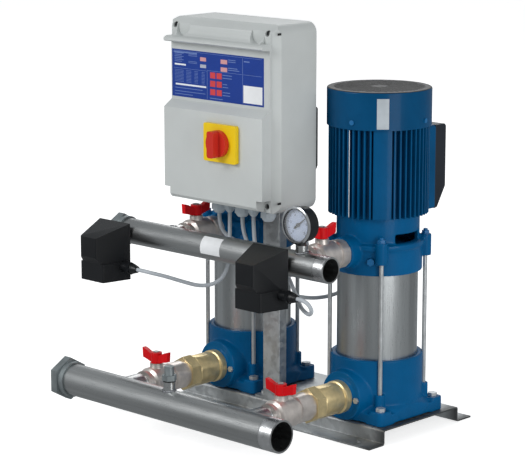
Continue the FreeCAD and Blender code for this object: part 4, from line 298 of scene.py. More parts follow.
def enamel(name, tint, grain, lumps, grille=None):
    """Gloss paint: slow changes of tone, dust in the low spots, orange peel over the metal's grain.
    Above the height of a grille the paint is dark grey-brown: painted shade of the dimly lit top."""
    coat = Finish(name, Coat_Weight=0.08, Coat_Roughness=0.08, Specular_IOR_Level=0.08)
    slow = coat.noise(9, 3)
    fine = coat.noise(420, 2)
    cast = coat.noise(grain, 4, 0.6)
    toned = coat.mix(coat.spread(slow, 0.3, 0.7), shade(tint, 0.86), shade(tint, 1.12))
    toned = coat.mix(coat.spread(cast, 0.56, 0.8, 0.0, 0.35), toned, shade(tint, 0.6))
    # painted shade: the paint above the grille height turns dark grey-brown
    if grille:
        toned = coat.mix(coat.axis("Z") > grille, toned, coat.mix(slow, srgb(26, 28, 32), srgb(62, 60, 58)))
    return coat.feed(Base_Color=toned, Roughness=coat.spread(slow, 0.3, 0.7, 0.3, 0.42),
                     Normal=coat.bump(cast * lumps + fine * 0.08, 0.0009))


def ground_steel(name, tint, along, rough, scale, reflection_dark):
    """Metal ground along one direction: fine scratches, and broad bands of tone along it that are painted
    reflections.
    """
    coat = Finish(name, Metallic=1.0)
    squeezed = tuple(0.03 if i == along else 1.0 for i in range(3))
    reflection_streaks = coat.noise(scale, 2, 0.5, squeezed)
    fine = coat.noise(900, 2, 0.6, squeezed)
    # painted reflection: broad dark and light bands along the grinding direction
    toned = coat.mix(coat.spread(reflection_streaks, 0.34, 0.66), shade(tint, reflection_dark), shade(tint, 1.1))
    toned = coat.mix(coat.spread(fine, 0.35, 0.7, 0.0, 0.35), toned, shade(tint, 0.7))
    return coat.feed(Base_Color=toned, Roughness=coat.spread(fine, 0.3, 0.7, *rough),
                     Normal=coat.bump(fine, 0.00006))


def galvanised(name, tint):
    """Zinc on sheet: flat crystals of slightly different greys, with dull bloom and small scratches; the
    sheet is painted much darker towards its right end, as painted shade and painted reflection."""
    coat = Finish(name, Metallic=0.85)
    crystals = coat.node("ShaderNodeTexVoronoi", {"feature": "F1"},
                         {"Vector": coat.place((1, 1, 1)), "Scale": 130.0, "Randomness": 1.0}, "Color")
    level = coat.node("ShaderNodeSeparateColor", {}, {0: crystals}, 0)
    bloom = coat.noise(14, 4)
    scratch = coat.noise(240, 3, 0.7, (0.15, 1, 1))
    toned = coat.mix(level, shade(tint, 0.82), shade(tint, 1.08))
    toned = coat.mix(coat.spread(bloom, 0.45, 0.75, 0.0, 0.5), toned, shade(tint, 0.72))
    # painted shade and painted reflection: the sheet darkens strongly towards its right end
    painted_dark_end = coat.spread(coat.axis("X") + bloom * 0.01, 0.235, 0.262, 0.0, 0.85)
    toned = coat.mix(painted_dark_end, toned, shade(tint, 0.14))
    return coat.feed(Base_Color=toned, Roughness=coat.spread(level + bloom, 0.5, 1.4, 0.34, 0.56),
                     Normal=coat.bump(scratch, 0.00008))


def plated(name, tint, rough, metallic=1.0, dark=0.7, painted=()):
    """Plated or machined metal: faint turning lines and patches that are a little duller. Screws beside
    the post, above a height and within a span of Y can be painted over."""
    coat = Finish(name)
    patches = coat.noise(60, 4)
    lines = coat.noise(700, 2, 0.6, (1, 0.3, 0.3))
    toned = coat.mix(coat.spread(patches, 0.35, 0.7), shade(tint, dark), shade(tint, 1.05))
    bare = metallic
    beside = coat.node("ShaderNodeMath", {"operation": "ABSOLUTE"}, {0: coat.axis("X")}) > POST_HALF
    for low_z, low_y, high_y, paint in painted:
        inside = beside * (coat.axis("Z") > low_z) * (coat.axis("Y") > low_y) * (coat.axis("Y") < high_y)
        toned = coat.mix(inside, toned, paint)
        bare = (1.0 - inside) * bare
    return coat.feed(Base_Color=toned, Roughness=coat.spread(patches, 0.3, 0.7, *rough), Metallic=bare,
                     Normal=coat.bump(lines, 0.00006))


def moulded(name, tint, grain, depth, rough=(0.42, 0.55), spots=0.94):
    """Moulded plastic: spark-eroded texture, faint flow marks and a little dust."""
    coat = Finish(name, Specular_IOR_Level=0.3)
    slow = coat.noise(11, 3)
    texture = coat.noise(grain, 2, 0.5)
    toned = coat.mix(coat.spread(slow, 0.35, 0.65), shade(tint, spots), shade(tint, 1.03))
    toned = coat.mix(coat.spread(texture, 0.55, 0.85, 0.0, 0.12), toned, shade(tint, 0.8))
    return coat.feed(Base_Color=toned, Roughness=coat.spread(texture, 0.3, 0.7, *rough),
                     Normal=coat.bump(texture, depth))


def glass_pane(name):
    """Clear window: nearly see-through, with gloss and a faint smear."""
    coat = Finish(name, IOR=1.45, Base_Color=(0.9, 0.93, 0.95, 1.0))
    smear = coat.noise(60, 2)
    return coat.feed(Roughness=coat.spread(smear, 0.3, 0.7, 0.04, 0.1),
                     Alpha=coat.spread(smear, 0.3, 0.7, 0.1, 0.14))


def dressed(name, tint, rough, mark=0.93):
    """Thin printed sheet or sticker: even colour with a faint crease and print grain."""
    coat = Finish(name, IOR=1.45)
    grain = coat.noise(1500, 2)
    slow = coat.noise(30, 2)
    toned = coat.mix(coat.spread(slow, 0.35, 0.65), shade(tint, mark), tint)
    return coat.feed(Base_Color=toned, Roughness=coat.spread(grain, 0.3, 0.7, rough - 0.08, rough + 0.08),
                     Normal=coat.bump(grain + slow * 3, 0.00004))


FINISHES = {}


def make_finishes():
    """One finish for each slot of the record and for each added piece."""
    paints = colours()
    blue = tuple(paints.blue)
    zinc = tuple(paints.zinc)
    painted = [(*FAN_COVER_SCREWS, blue), (*ROD_NUTS, blue), (*VENT_PLUGS, blue),
               (*PANEL_SCREWS, srgb(30, 31, 33))]
    FINISHES.update({
        "blue_paint": enamel("gloss_blue_casting", shade(blue, 0.77), 260, 0.5),
        # painted shade: motor frames, terminal boxes and fan covers wear darker copies of the blue enamel
        # than the castings
        "blue_smooth": enamel("gloss_blue_smooth_painted_shade", shade(blue, 0.58), 90, 0.12),
        "fan_metal": enamel("gloss_blue_sheet_painted_shade", shade(blue, 0.49), 70, 0.08, GRILLE_Z),
        "red_paint": enamel("gloss_red_paint", tuple(paints.red), 300, 0.15),
        "stainless": ground_steel("ground_stainless_painted_reflections", tuple(paints.steel), 2, (0.26, 0.4), 30, 0.6),
        "pipe_steel": ground_steel("brushed_pipe_painted_reflections", tuple(paints.pipe), 0, (0.26, 0.4), 42, 0.6),
        "galvanised": galvanised("dull_galvanised", zinc),
        "zinc": plated("bright_zinc", shade(zinc, 1.25), (0.3, 0.44), metallic=0.7, dark=0.85,
                       painted=painted),
        "nickel": plated("satin_nickel", tuple(paints.nickel), (0.3, 0.42), metallic=0.75, dark=0.8),
        "brass": plated("machined_brass", tuple(paints.brass), (0.3, 0.4), metallic=0.75, dark=0.8),
        "cap_iron": plated("dull_cap_iron", srgb(150, 158, 160), (0.4, 0.55), metallic=0.8, dark=0.8),
        "inner_steel": plated("machined_steel", srgb(150, 152, 154), (0.3, 0.45)),
        "copper_winding": plated("varnished_winding", srgb(150, 96, 62), (0.35, 0.5)),
        "spring_steel": plated("drawn_wire", srgb(180, 182, 184), (0.2, 0.34)),
        "chrome": plated("bright_chrome", srgb(222, 224, 226), (0.08, 0.18), dark=0.85),
        "thread": plated("cut_thread", srgb(206, 207, 208), (0.22, 0.36), dark=0.8),
        "weld": plated("weld_bead", srgb(150, 152, 156), (0.3, 0.5), dark=0.6),
        "grey_plastic": moulded("panel_grey_plastic", tuple(paints.panel), 1100, 0.00005, (0.4, 0.5),
                                spots=0.97),
        "light_plastic": moulded("gland_grey_plastic", srgb(198, 208, 215), 900, 0.00004),
        "black_plastic": moulded("black_textured_plastic", tuple(paints.black), 620, 0.0002,
                                 (0.3, 0.42), spots=0.8),
        "dark_plastic": moulded("dark_box_plastic", srgb(34, 38, 46), 700, 0.0001, (0.34, 0.46),
                                spots=0.85),
        "yellow_plastic": moulded("yellow_plate_plastic", tuple(paints.yellow), 1200, 0.00003,
                                  (0.26, 0.36), spots=0.97),
        "red_plastic": moulded("red_knob_plastic", srgb(196, 46, 34), 1200, 0.00003, (0.2, 0.3),
                               spots=0.95),
        "pointer_black": moulded("black_pointer_paint", srgb(12, 12, 14), 900, 0.00003),
        "cable_grey": moulded("cable_sheath", tuple(paints.cable), 500, 0.00005, (0.4, 0.5),
                              spots=0.95),
        "seal": moulded("black_rubber", srgb(24, 24, 25), 500, 0.00008, (0.5, 0.65)),
        "device_grey": moulded("device_grey_plastic", srgb(96, 99, 102), 600, 0.00008),
        "gauge_glass": glass_pane("gauge_window"),
        "white_dial": dressed("white_dial_enamel", srgb(178, 190, 214), 0.4, mark=0.97),
        "label_blue": dressed("label_blue_print", tuple(paints.label), 0.34, mark=0.94),
        "print_white": dressed("white_print", srgb(226, 230, 236), 0.45),
        "print_fine": dressed("fine_print", srgb(108, 132, 188), 0.45),
        "print_red": dressed("red_print", srgb(202, 62, 66), 0.45),
        "print_rose": dressed("rose_print", srgb(206, 150, 152), 0.45),
        "print_dark": dressed("dark_print", srgb(44, 44, 52), 0.45),
        "window_pale": dressed("pale_window", srgb(170, 176, 190), 0.3),
        "white_sticker_and_highlight": dressed("bare_white_sticker_and_painted_highlight", srgb(232, 234, 236), 0.4, mark=0.92),
        "sticker_silver": dressed("bare_silver_sticker", srgb(176, 184, 190), 0.34, mark=0.85),
    })


# Shapes

def grid_mesh(name, points, wrap_u=False, wrap_v=False):
    """Mesh over points[u, v]: each cell is a four-sided face; a wrapped side joins its last row to
    its first."""
    rows, columns = points.shape[:2]
    u = np.arange(rows if wrap_u else rows - 1)
    v = np.arange(columns if wrap_v else columns - 1)
    first = (u[:, None] * columns + v[None, :]).ravel()
    right = (u[:, None] * columns + (v[None, :] + 1) % columns).ravel()
    below = (((u[:, None] + 1) % rows) * columns + v[None, :]).ravel()
    across = (((u[:, None] + 1) % rows) * columns + (v[None, :] + 1) % columns).ravel()
    mesh = bpy.data.meshes.new(name)
    mesh.from_pydata(points.reshape(-1, 3).tolist(), [],
                     np.stack([first, right, across, below], axis=1).tolist())
    return mesh


def tidy_mesh(mesh, sharp=40.0):
    """Merge doubled points, drop collapsed faces, turn faces outwards and smooth all but sharp edges."""
    work = bmesh.new()
    work.from_mesh(mesh)
    bmesh.ops.remove_doubles(work, verts=work.verts, dist=1e-6)
    bmesh.ops.dissolve_degenerate(work, dist=1e-7, edges=work.edges)
    bmesh.ops.recalc_face_normals(work, faces=work.faces)
    work.to_mesh(mesh)
    work.free()
    smooth(mesh, sharp)
    return mesh


def smooth(mesh, sharp):
    """Shade a mesh smooth, apart from edges sharper than an angle."""
    mesh.shade_smooth()
    mesh.set_sharp_from_angle(angle=math.radians(sharp))


def axes_about(axis):
    """Two directions square to an axis."""
    axis = np.array(axis, float)
    helper = np.array([0.0, 0.0, 1.0]) if abs(axis[2]) < 0.9 else np.array([1.0, 0.0, 0.0])
    side = np.cross(helper, axis)
    side /= np.linalg.norm(side)
    return side, np.cross(axis, side)


def turned(name, profile, centre, axis, count):
    """Lathe: a point (radius, height) of the closed profile goes round the axis, as
    centre + height*axis + radius*(cos, sin)."""
    profile = np.array(profile, float)
    side, up = axes_about(axis)
    angle = np.linspace(0, 2 * math.pi, count, endpoint=False)
    round_it = np.cos(angle)[:, None] * side + np.sin(angle)[:, None] * up
    points = (np.array(centre) + profile[None, :, 1, None] * np.array(axis, float)
              + profile[None, :, 0, None] * round_it[:, None, :])
    return tidy_mesh(grid_mesh(name, points, wrap_u=True, wrap_v=True))


def thread(radius, crest, start, axis, long, pitch, count):
    """Thread: the radius rises by crest with a saw wave of (distance / pitch + turn), so that the ridge
    is a helix."""
    side, up = axes_about(axis)
    steps = int(long / pitch * 5)
    along = np.linspace(0, long, steps)
    angle = np.linspace(0, 2 * math.pi, count, endpoint=False)
    phase = (along[None, :] / pitch + angle[:, None] / (2 * math.pi)) % 1.0
    fade = np.minimum(1.0, np.minimum(along, long - along) / pitch)[None, :]
    height = radius + crest * fade * (1 - np.abs(2 * phase - 1))
    round_it = np.cos(angle)[:, None] * side + np.sin(angle)[:, None] * up
    points = (np.array(start) + along[None, :, None] * np.array(axis, float)
              + height[:, :, None] * round_it[:, None, :])
    return tidy_mesh(grid_mesh("thread", points, wrap_u=True), 60)


def boxes(name, lows, highs):
    """Many small blocks in one mesh, each from its lowest to its highest corner."""
    lows = np.array(lows, float)
    highs = np.array(highs, float)
    square = [[0, 0], [1, 0], [1, 1], [0, 1]]
    pick = np.array([[*corner, level] for level in (0, 1) for corner in square])
    points = lows[:, None, :] + pick[None] * (highs - lows)[:, None, :]
    sides = np.array([[0, 3, 2, 1], [4, 5, 6, 7], [0, 1, 5, 4], [1, 2, 6, 5], [2, 3, 7, 6],
                      [3, 0, 4, 7]])
    faces = sides[None] + 8 * np.arange(len(lows))[:, None, None]
    mesh = bpy.data.meshes.new(name)
    mesh.from_pydata(points.reshape(-1, 3).tolist(), [], faces.reshape(-1, 4).tolist())
    return mesh


def joined(name, meshes):
    """Several meshes as one."""
    work = bmesh.new()
    for mesh in meshes:
        work.from_mesh(mesh)
        bpy.data.meshes.remove(mesh)
    made = bpy.data.meshes.new(name)
    work.to_mesh(made)
    work.free()
    return made


def piece(name, mesh, finish, body, slot, *replaced):
    """Put a mesh in the scene as a piece that rides on a body."""
    mesh.name = name
    made = bpy.data.objects.new(name, mesh)
    mesh.materials.clear()
    mesh.materials.append(FINISHES[finish])
    bpy.context.scene.collection.objects.link(made)
    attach(made, body)
    if replaced:
        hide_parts(*replaced)
    return made


EDGE_ANGLE = 32.0


def merged_copy(node, flat=0.6):
    """A CAD node's triangles merged into one skin, with its flat faces whole again."""
    work = bmesh.new()
    work.from_mesh(NODES[node].data)
    bmesh.ops.remove_doubles(work, verts=work.verts, dist=5e-6)
    bmesh.ops.dissolve_degenerate(work, dist=1e-6, edges=work.edges)
    if flat:
        bmesh.ops.dissolve_limit(work, angle_limit=math.radians(flat), use_dissolve_boundaries=False,
                                 verts=work.verts, edges=work.edges)
    mesh = bpy.data.meshes.new(node + "_skin")
    work.to_mesh(mesh)
    work.free()
    return mesh


def softened(name, node, finish, edge, segments=2):
    """A CAD node whose edges are rounded by a bevel; it stands for the node."""
    mesh = merged_copy(node)
    smooth(mesh, EDGE_ANGLE)
    made = piece(name, mesh, finish, NODES[node]["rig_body"], SLOTS[node], node)
    bevel = made.modifiers.new("edges", "BEVEL")
    bevel.width = edge
    bevel.segments = segments
    bevel.limit_method = "ANGLE"
    bevel.angle_limit = math.radians(EDGE_ANGLE)
    bevel.use_clamp_overlap = True
    bevel.harden_normals = True
    return made


def cast_copy(name, node, finish, voxel, passes):
    """A casting: the node's skin rebuilt on a fine grid and relaxed, so that inner corners fill and
    outer ones round."""
    mesh = merged_copy(node, 0)
    rough = bpy.data.objects.new(name + "_rough", mesh)
    bpy.context.scene.collection.objects.link(rough)
    remesh = rough.modifiers.new("grid", "REMESH")
    remesh.mode = "VOXEL"
    remesh.voxel_size = voxel
    relax = rough.modifiers.new("relax", "SMOOTH")
    relax.factor = 0.5
    relax.iterations = passes
    graph = bpy.context.evaluated_depsgraph_get()
    final = bpy.data.meshes.new_from_object(rough.evaluated_get(graph))
    bpy.data.objects.remove(rough)
    bpy.data.meshes.remove(mesh)
    final.shade_smooth()
    return piece(name, final, finish, NODES[node]["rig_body"], SLOTS[node], node)


# Stage and cords

def light(tree, kind, tint, strength):
    """A background or an emission of one tint."""
    made = tree.nodes.new(kind)
    made.inputs["Color"].default_value = tint
    made.inputs["Strength"].default_value = strength
    return made.outputs[0]


def by_ray(tree, output, shown, rest):
    """Show one surface to each named kind of ray, and the last one to all other rays."""
    path = tree.nodes.new("ShaderNodeLightPath")
    for ray, surface in shown:
        chosen = tree.nodes.new("ShaderNodeMixShader")
        tree.links.new(path.outputs[ray], chosen.inputs["Fac"])
        tree.links.new(rest, chosen.inputs[1])
        tree.links.new(surface, chosen.inputs[2])
        rest = chosen.outputs[0]
    tree.links.new(rest, output.inputs["Surface"])


def face(thing, place, aim):
    """Put a camera or lamp at a place, and turn it towards its aim."""
    thing.location = place
    thing.rotation_mode = "QUATERNION"
    thing.rotation_quaternion = (Vector(aim) - Vector(place)).to_track_quat("-Z", "Y")


def make_stage():
    """The fitted camera, a plain studio world, the pale floor and four soft lamps."""
    scene = bpy.context.scene
    scene.view_settings.view_transform = "Standard"
    camera = bpy.data.objects.new("camera", bpy.data.cameras.new("camera"))
    scene.collection.objects.link(camera)
    face(camera, CAMERA_PLACE, CAMERA_TARGET)
    camera.data.sensor_width = 36.0
    camera.data.lens = CAMERA_LENS
    camera.data.clip_end = 200.0
    scene.camera = camera

    world = bpy.data.worlds.new("studio")
    scene.world = world
    world.use_nodes = True
    sky = world.node_tree
    by_ray(sky, sky.nodes["World Output"],
           [("Is Glossy Ray", light(sky, "ShaderNodeBackground", STUDIO_TINT, SKY_STRENGTH)),
            ("Is Transmission Ray", light(sky, "ShaderNodeBackground", WHITE, 1.0)),
            ("Is Camera Ray", light(sky, "ShaderNodeBackground", WHITE, 1.0))],
           light(sky, "ShaderNodeBackground", SKY_TINT, SKY_STRENGTH))

    far = FLOOR_REACH
    down = -FLOOR_DROP
    floor = bpy.data.objects.new("floor", grid_mesh("floor", np.array(
        [[[-far, -far, down], [far, -far, down]], [[-far, far, down], [far, far, down]]], float)))
    scene.collection.objects.link(floor)
    paint = bpy.data.materials.new("pale_floor")
    paint.use_nodes = True
    tree = paint.node_tree
    base = tree.nodes["Principled BSDF"]
    base.inputs["Base Color"].default_value = FLOOR_TINT
    base.inputs["Roughness"].default_value = 0.9
    base.inputs["Specular IOR Level"].default_value = 0.1
    both = tree.nodes.new("ShaderNodeAddShader")
    tree.links.new(base.outputs[0], both.inputs[0])
    tree.links.new(light(tree, "ShaderNodeEmission", WHITE, FLOOR_GLOW), both.inputs[1])
    by_ray(tree, tree.nodes["Material Output"],
           [("Is Glossy Ray", light(tree, "ShaderNodeEmission", STUDIO_TINT, FLOOR_IN_METAL)),
            ("Is Camera Ray", both.outputs[0])], base.outputs[0])
    floor.data.materials.append(paint)

    for name, (place, aim, side, power) in LAMPS.items():
        lamp = bpy.data.lights.new(name, "AREA")
        lamp.size = side
        lamp.energy = power
        holder = bpy.data.objects.new(name, lamp)
        face(holder, place, aim)
        scene.collection.objects.link(holder)


CABLES = {
    "left_switch_cable": (0.301, [
        (-0.082, -0.157, 0.396), (-0.082, -0.157, 0.376), (-0.0795, -0.16002, 0.34683),
        (-0.076, -0.16603, 0.31467), (-0.0725, -0.17605, 0.2855), (-0.082, -0.19107, 0.26433),
        (-0.1035, -0.21308, 0.25817), (-0.128, -0.2381, 0.268), (-0.1505, -0.26212, 0.27883),
        (-0.17, -0.27913, 0.28467), (-0.1835, -0.28315, 0.2865), (-0.2035, -0.28315, 0.2865)]),
    "right_switch_cable": (0.489, [
        (-0.11, -0.157, 0.392), (-0.11, -0.157, 0.372), (-0.10557, -0.14651, 0.34804),
        (-0.08813, -0.13602, 0.33708), (-0.0547, -0.12754, 0.33112), (-0.01227, -0.12705, 0.32417),
        (0.03017, -0.13656, 0.31121), (0.0696, -0.15808, 0.29525), (0.10803, -0.18459, 0.28129),
        (0.14647, -0.2141, 0.27033), (0.1839, -0.24361, 0.26538), (0.22233, -0.26612, 0.26542),
        (0.23977, -0.27864, 0.28046), (0.2272, -0.28315, 0.2965), (0.2072, -0.28315, 0.2965)]),
    "left_motor_cable": (0.477, [
        (-0.02, -0.157, 0.396), (-0.02, -0.157, 0.376), (-0.01779, -0.15596, 0.34004),
        (-0.00858, -0.14892, 0.30708), (0.00262, -0.12887, 0.28613), (0.00883, -0.09483, 0.27717),
        (0.00404, -0.05679, 0.27421), (-0.01375, -0.01875, 0.27625), (-0.04154, 0.01729, 0.28429),
        (-0.07233, 0.05033, 0.29633), (-0.10412, 0.07838, 0.31138), (-0.13492, 0.09242, 0.32742),
        (-0.15571, 0.08846, 0.34346), (-0.1615, 0.0835, 0.3645), (-0.1615, 0.0835, 0.3845)]),
    "right_motor_cable": (0.515, [
        (-0.049, -0.157, 0.392), (-0.049, -0.157, 0.372), (-0.04296, -0.15282, 0.34646),
        (-0.03393, -0.14564, 0.31793), (-0.01989, -0.13546, 0.28839), (-0.00086, -0.11829, 0.26086),
        (0.01518, -0.09511, 0.24232), (0.02221, -0.06793, 0.23279), (0.03225, -0.03975, 0.22825),
        (0.04329, -0.00857, 0.22971), (0.05832, 0.02161, 0.24118), (0.07836, 0.05179, 0.26264),
        (0.10239, 0.07596, 0.29111), (0.13043, 0.09114, 0.31757), (0.15546, 0.08932, 0.34104),
        (0.1615, 0.0835, 0.3645), (0.1615, 0.0835, 0.3845)]),
}


def make_cables():
    """The cables between the glands, each one smooth line through its route."""
    for node, (real_length, route) in CABLES.items():
        line = bpy.data.curves.new(node + "_sheath", "CURVE")
        line.dimensions = "3D"
        spline = line.splines.new("NURBS")
        spline.points.add(len(route) - 1)
        for point, place in zip(spline.points, route):
            point.co = (*place, 1.0)
        spline.order_u = 3
        spline.use_endpoint_u = True
        spline.resolution_u = 8
        line.bevel_depth = sizes().cable / 2
        line.bevel_resolution = 6
        line.use_fill_caps = True
        line.materials.append(FINISHES["cable_grey"])
        made = bpy.data.objects.new(node + "_sheath", line)
        bpy.context.scene.collection.objects.link(made)
        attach(made, "frame")
        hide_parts(node)


# Pieces

def dress_nodes():
    """Give each CAD node the finish of its slot."""
    for name, node in NODES.items():
        node.material_slots[0].material = FINISHES[SLOTS[name]]


def make_castings():
    """Foot and head castings with soft inner and outer corners."""
    for side in PUMPS:
        cast_copy(side + "_foot_casting", side + "_pump_base", "blue_paint", sizes().cast_voxel, passes=5)
        cast_copy(side + "_head_casting", side + "_pump_head", "blue_paint", sizes().cast_voxel, passes=4)


def make_motors():
    """Motor frames and terminal boxes with rounded edges."""
    for side in PUMPS:
        softened(side + "_motor_frame", side + "_motor_housing", "blue_smooth", sizes().metal_edge)
    softened("motor_terminal_boxes", "terminal_boxes", "blue_smooth", EDGES["terminal_boxes"])
    softened("motor_terminal_lids", "terminal_lids", "dark_plastic", EDGES["terminal_lids"], segments=3)


HINGE_HEIGHTS = (0.4415, 0.7475)
HINGE_SPAN_Y = (-0.2135, -0.2045)
HINGE_HALF = 0.002
HINGE_DEPTH = 0.0006
HINGE_PROUD = 0.0002


def make_panel():
    """Panel shells, main switch and glands with rounded edges, and painted shade of hinge slots by the
    cover's seam.
    """
    edge = sizes().plastic_edge
    softened("panel_rear_shell", "panel_back", "grey_plastic", edge * 0.6)
    softened("panel_front_shell", "panel_cover", "grey_plastic", edge, segments=3)
    softened("main_switch_plate", "isolator_plate", "yellow_plastic", EDGES["isolator_plate"])
    softened("main_switch_knob", "isolator_knob", "red_plastic", EDGES["isolator_knob"], segments=3)
    softened("cable_gland_nuts", "cable_glands", "light_plastic", EDGES["cable_glands"])
    front, back = HINGE_SPAN_Y
    lows = [(PANEL_RIGHT_X - HINGE_DEPTH, front, z - HINGE_HALF) for z in HINGE_HEIGHTS]
    highs = [(PANEL_RIGHT_X + HINGE_PROUD, back, z + HINGE_HALF) for z in HINGE_HEIGHTS]
    # painted shade: thin dark blocks stand for the shade inside the hinge slots
    piece("panel_hinge_slot_shade", boxes("panel_hinge_slot_shade", lows, highs), "seal", "frame", "grey_plastic")


def lines(left, rows, thick):
    """Lines of print that start at one place: height and length of each."""
    return [(left, z, left + long, z + thick) for z, long in rows]


def label_marks():
    """Printed rules, bars and squares on the label, for each ink, as left, low, right and high:
    shares of the label's width and height."""
    bars = [(0.03, 0.665, 0.155, 0.70), (0.04, 0.245, 0.38, 0.28)]
    rules = [(0.02, 0.965, 0.98, 0.971), (0.02, 0.60, 0.39, 0.606), (0.39, 0.615, 0.98, 0.621),
             (0.39, 0.02, 0.393, 0.61), (0.775, 0.03, 0.778, 0.96)]
    heights = np.arange(0.74, 0.92, 0.035)
    fine = lines(0.03, [(z, 0.08 + 0.02 * (i % 2)) for i, z in enumerate(heights)], 0.012)
    fine += lines(0.185, [(z, 0.095) for z in (0.73, 0.76, 0.88, 0.91)], 0.010)
    for left, long in ((0.03, 0.10), (0.16, 0.055), (0.25, 0.04), (0.33, 0.035)):
        fine += lines(left, [(z, long) for z in np.arange(0.32, 0.57, 0.03)], 0.007)
    fine += lines(0.03, [(0.18, 0.31), (0.11, 0.34), (0.05, 0.2)], 0.012)
    fine += lines(0.56, [(0.55, 0.10), (0.49, 0.10), (0.36, 0.05), (0.30, 0.06), (0.19, 0.08),
                         (0.13, 0.08)], 0.014)
    fine += lines(0.62, [(0.88, 0.08), (0.84, 0.08), (0.71, 0.10), (0.67, 0.12)], 0.014)
    fine += [(0.79, 0.88, 0.85, 0.90), (0.42, 0.04, 0.56, 0.055), (0.02, 0.93, 0.28, 0.955)]
    red = [(x, z, x + 0.056, z + 0.125) for x in (0.425, 0.495) for z in (0.465, 0.29, 0.115)]
    rose = [(0.54, 0.79, 0.61, 0.88), (0.54, 0.63, 0.61, 0.72), (0.315, 0.80, 0.38, 0.88)]
    return {"print_white": bars, "print_fine": rules + fine, "print_red": red, "print_rose": rose,
            "window_pale": [(0.315, 0.66, 0.38, 0.73)], "white_sticker_and_highlight": [(0.785, 0.04, 0.985, 0.40)]}


LABEL_THICK = 0.0004
PRINT_FRONT = 0.0006
PRINT_BACK = 0.0003


def make_label():
    """The label sheet, and its print as thin blocks of each ink."""
    x0, x1, z0, z1 = LABEL_BOX
    sheet = boxes("label_sheet", [(x0, LABEL_Y - LABEL_THICK, z0)], [(x1, LABEL_Y, z1)])
    piece("label_sheet", sheet, "label_blue", "frame", "grey_plastic")
    for ink, marks in label_marks().items():
        left, low, right, high = np.array(marks).T
        front = np.full(len(marks), LABEL_Y - PRINT_FRONT)
        back = np.full(len(marks), LABEL_Y - PRINT_BACK)
        lows = np.stack([x0 + left * (x1 - x0), front, z0 + low * (z1 - z0)], axis=1)
        highs = np.stack([x0 + right * (x1 - x0), back, z0 + high * (z1 - z0)], axis=1)
        piece("label_" + ink, boxes("label_" + ink, lows, highs), ink, "frame", "grey_plastic")


def wrapped(radius, turns, span, centre, axis, count=16):
    """Sheet wrapped on a cylinder: centre + along*axis + radius*(cos, sin) of a turn from the front."""
    along = np.array(axis, float)
    start = np.array(FRONT, float)
    aside = np.cross(along, start)
    turn = np.radians(np.linspace(*turns, count))[:, None, None]
    step = np.linspace(*span, 2)[None, :, None]
    points = np.array(centre) + step * along + radius * (np.cos(turn) * start + np.sin(turn) * aside)
    return grid_mesh("sheet", points)


# Stickers and a painted highlight on a fin, each as its turns from the front in degrees and its span along
# the axis
PIPE_STICKER = ((-62, 22), (-0.054, -0.004))
COVER_STICKER = ((38, 51), (0.577, 0.632))
FIN_HIGHLIGHT = ((5.2, 6.0), (0.413, 0.572))
STICKER_LIFT = 0.0002
HIGHLIGHT_LIFT = 0.0001
STICKER_THICK = 0.0001


def make_stickers():
    """Bare stickers on the upper header and the right fan cover, and a white strip on a motor fin: a
    painted highlight.
    """
    pipe_y, pipe_z, pipe_r = DISCHARGE_PIPE
    motor = (PUMPS["right"], PUMP_Y, 0)
    on_pipe = wrapped(pipe_r + STICKER_LIFT, *PIPE_STICKER, (0, pipe_y, pipe_z), X_AXIS)
    on_cover = wrapped(FAN_COVER_R + STICKER_LIFT, *COVER_STICKER, motor, Z_AXIS)
    # painted highlight: a white strip along the edge of one fin
    on_fin = wrapped(FIN_R + HIGHLIGHT_LIFT, *FIN_HIGHLIGHT, motor, Z_AXIS, count=3)
    for name, mesh, finish, slot in (("pipe_sticker", on_pipe, "white_sticker_and_highlight", "pipe_steel"),
                                     ("fan_cover_sticker", on_cover, "sticker_silver", "fan_metal"),
                                     ("fin_painted_highlight", on_fin, "white_sticker_and_highlight", "blue_paint")):
        made = piece(name, mesh, finish, "frame", slot)
        sheet = made.modifiers.new("sheet", "SOLIDIFY")
        sheet.thickness = STICKER_THICK


def make_switches():
    """Pressure switches with rounded edges."""
    softened("pressure_switch_covers", "switch_covers", "black_plastic", EDGES["switch_covers"], segments=3)
    softened("pressure_switch_bodies", "switch_bodies", "black_plastic", EDGES["switch_bodies"])


LEVER_NUT = [(0.0052, -0.0012), (0.0065, -0.0006), (0.0065, 0.0012), (0.0056, 0.002), (0.0052, 0.002)]


def make_valves():
    """Ball valves with rounded edges and a collar about each handle's nut, and the check valves."""
    pipe_z = {"suction": SUCTION_PIPE[1], "discharge": DISCHARGE_PIPE[1]}
    for side, x in PUMPS.items():
        for kind, y in STEM_Y.items():
            name = side + "_" + kind
            softened(name + "_lever", name + "_valve_handle", "red_paint", EDGES["valve_handle"],
                     segments=3)
            softened(name + "_body_plated", name + "_valve_body", "nickel", EDGES["valve_body"])
            body = NODES[name + "_valve_handle"]["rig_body"]
            top = (x, y, pipe_z[kind] + LEVER_RISE)
            nut = turned(name + "_lever_nut", LEVER_NUT, top, Z_AXIS, count=6)
            piece(name + "_lever_nut", nut, "chrome", body, "nickel")
    softened("check_valve_brass", "check_valve_bodies", "brass", EDGES["check_valve_bodies"])


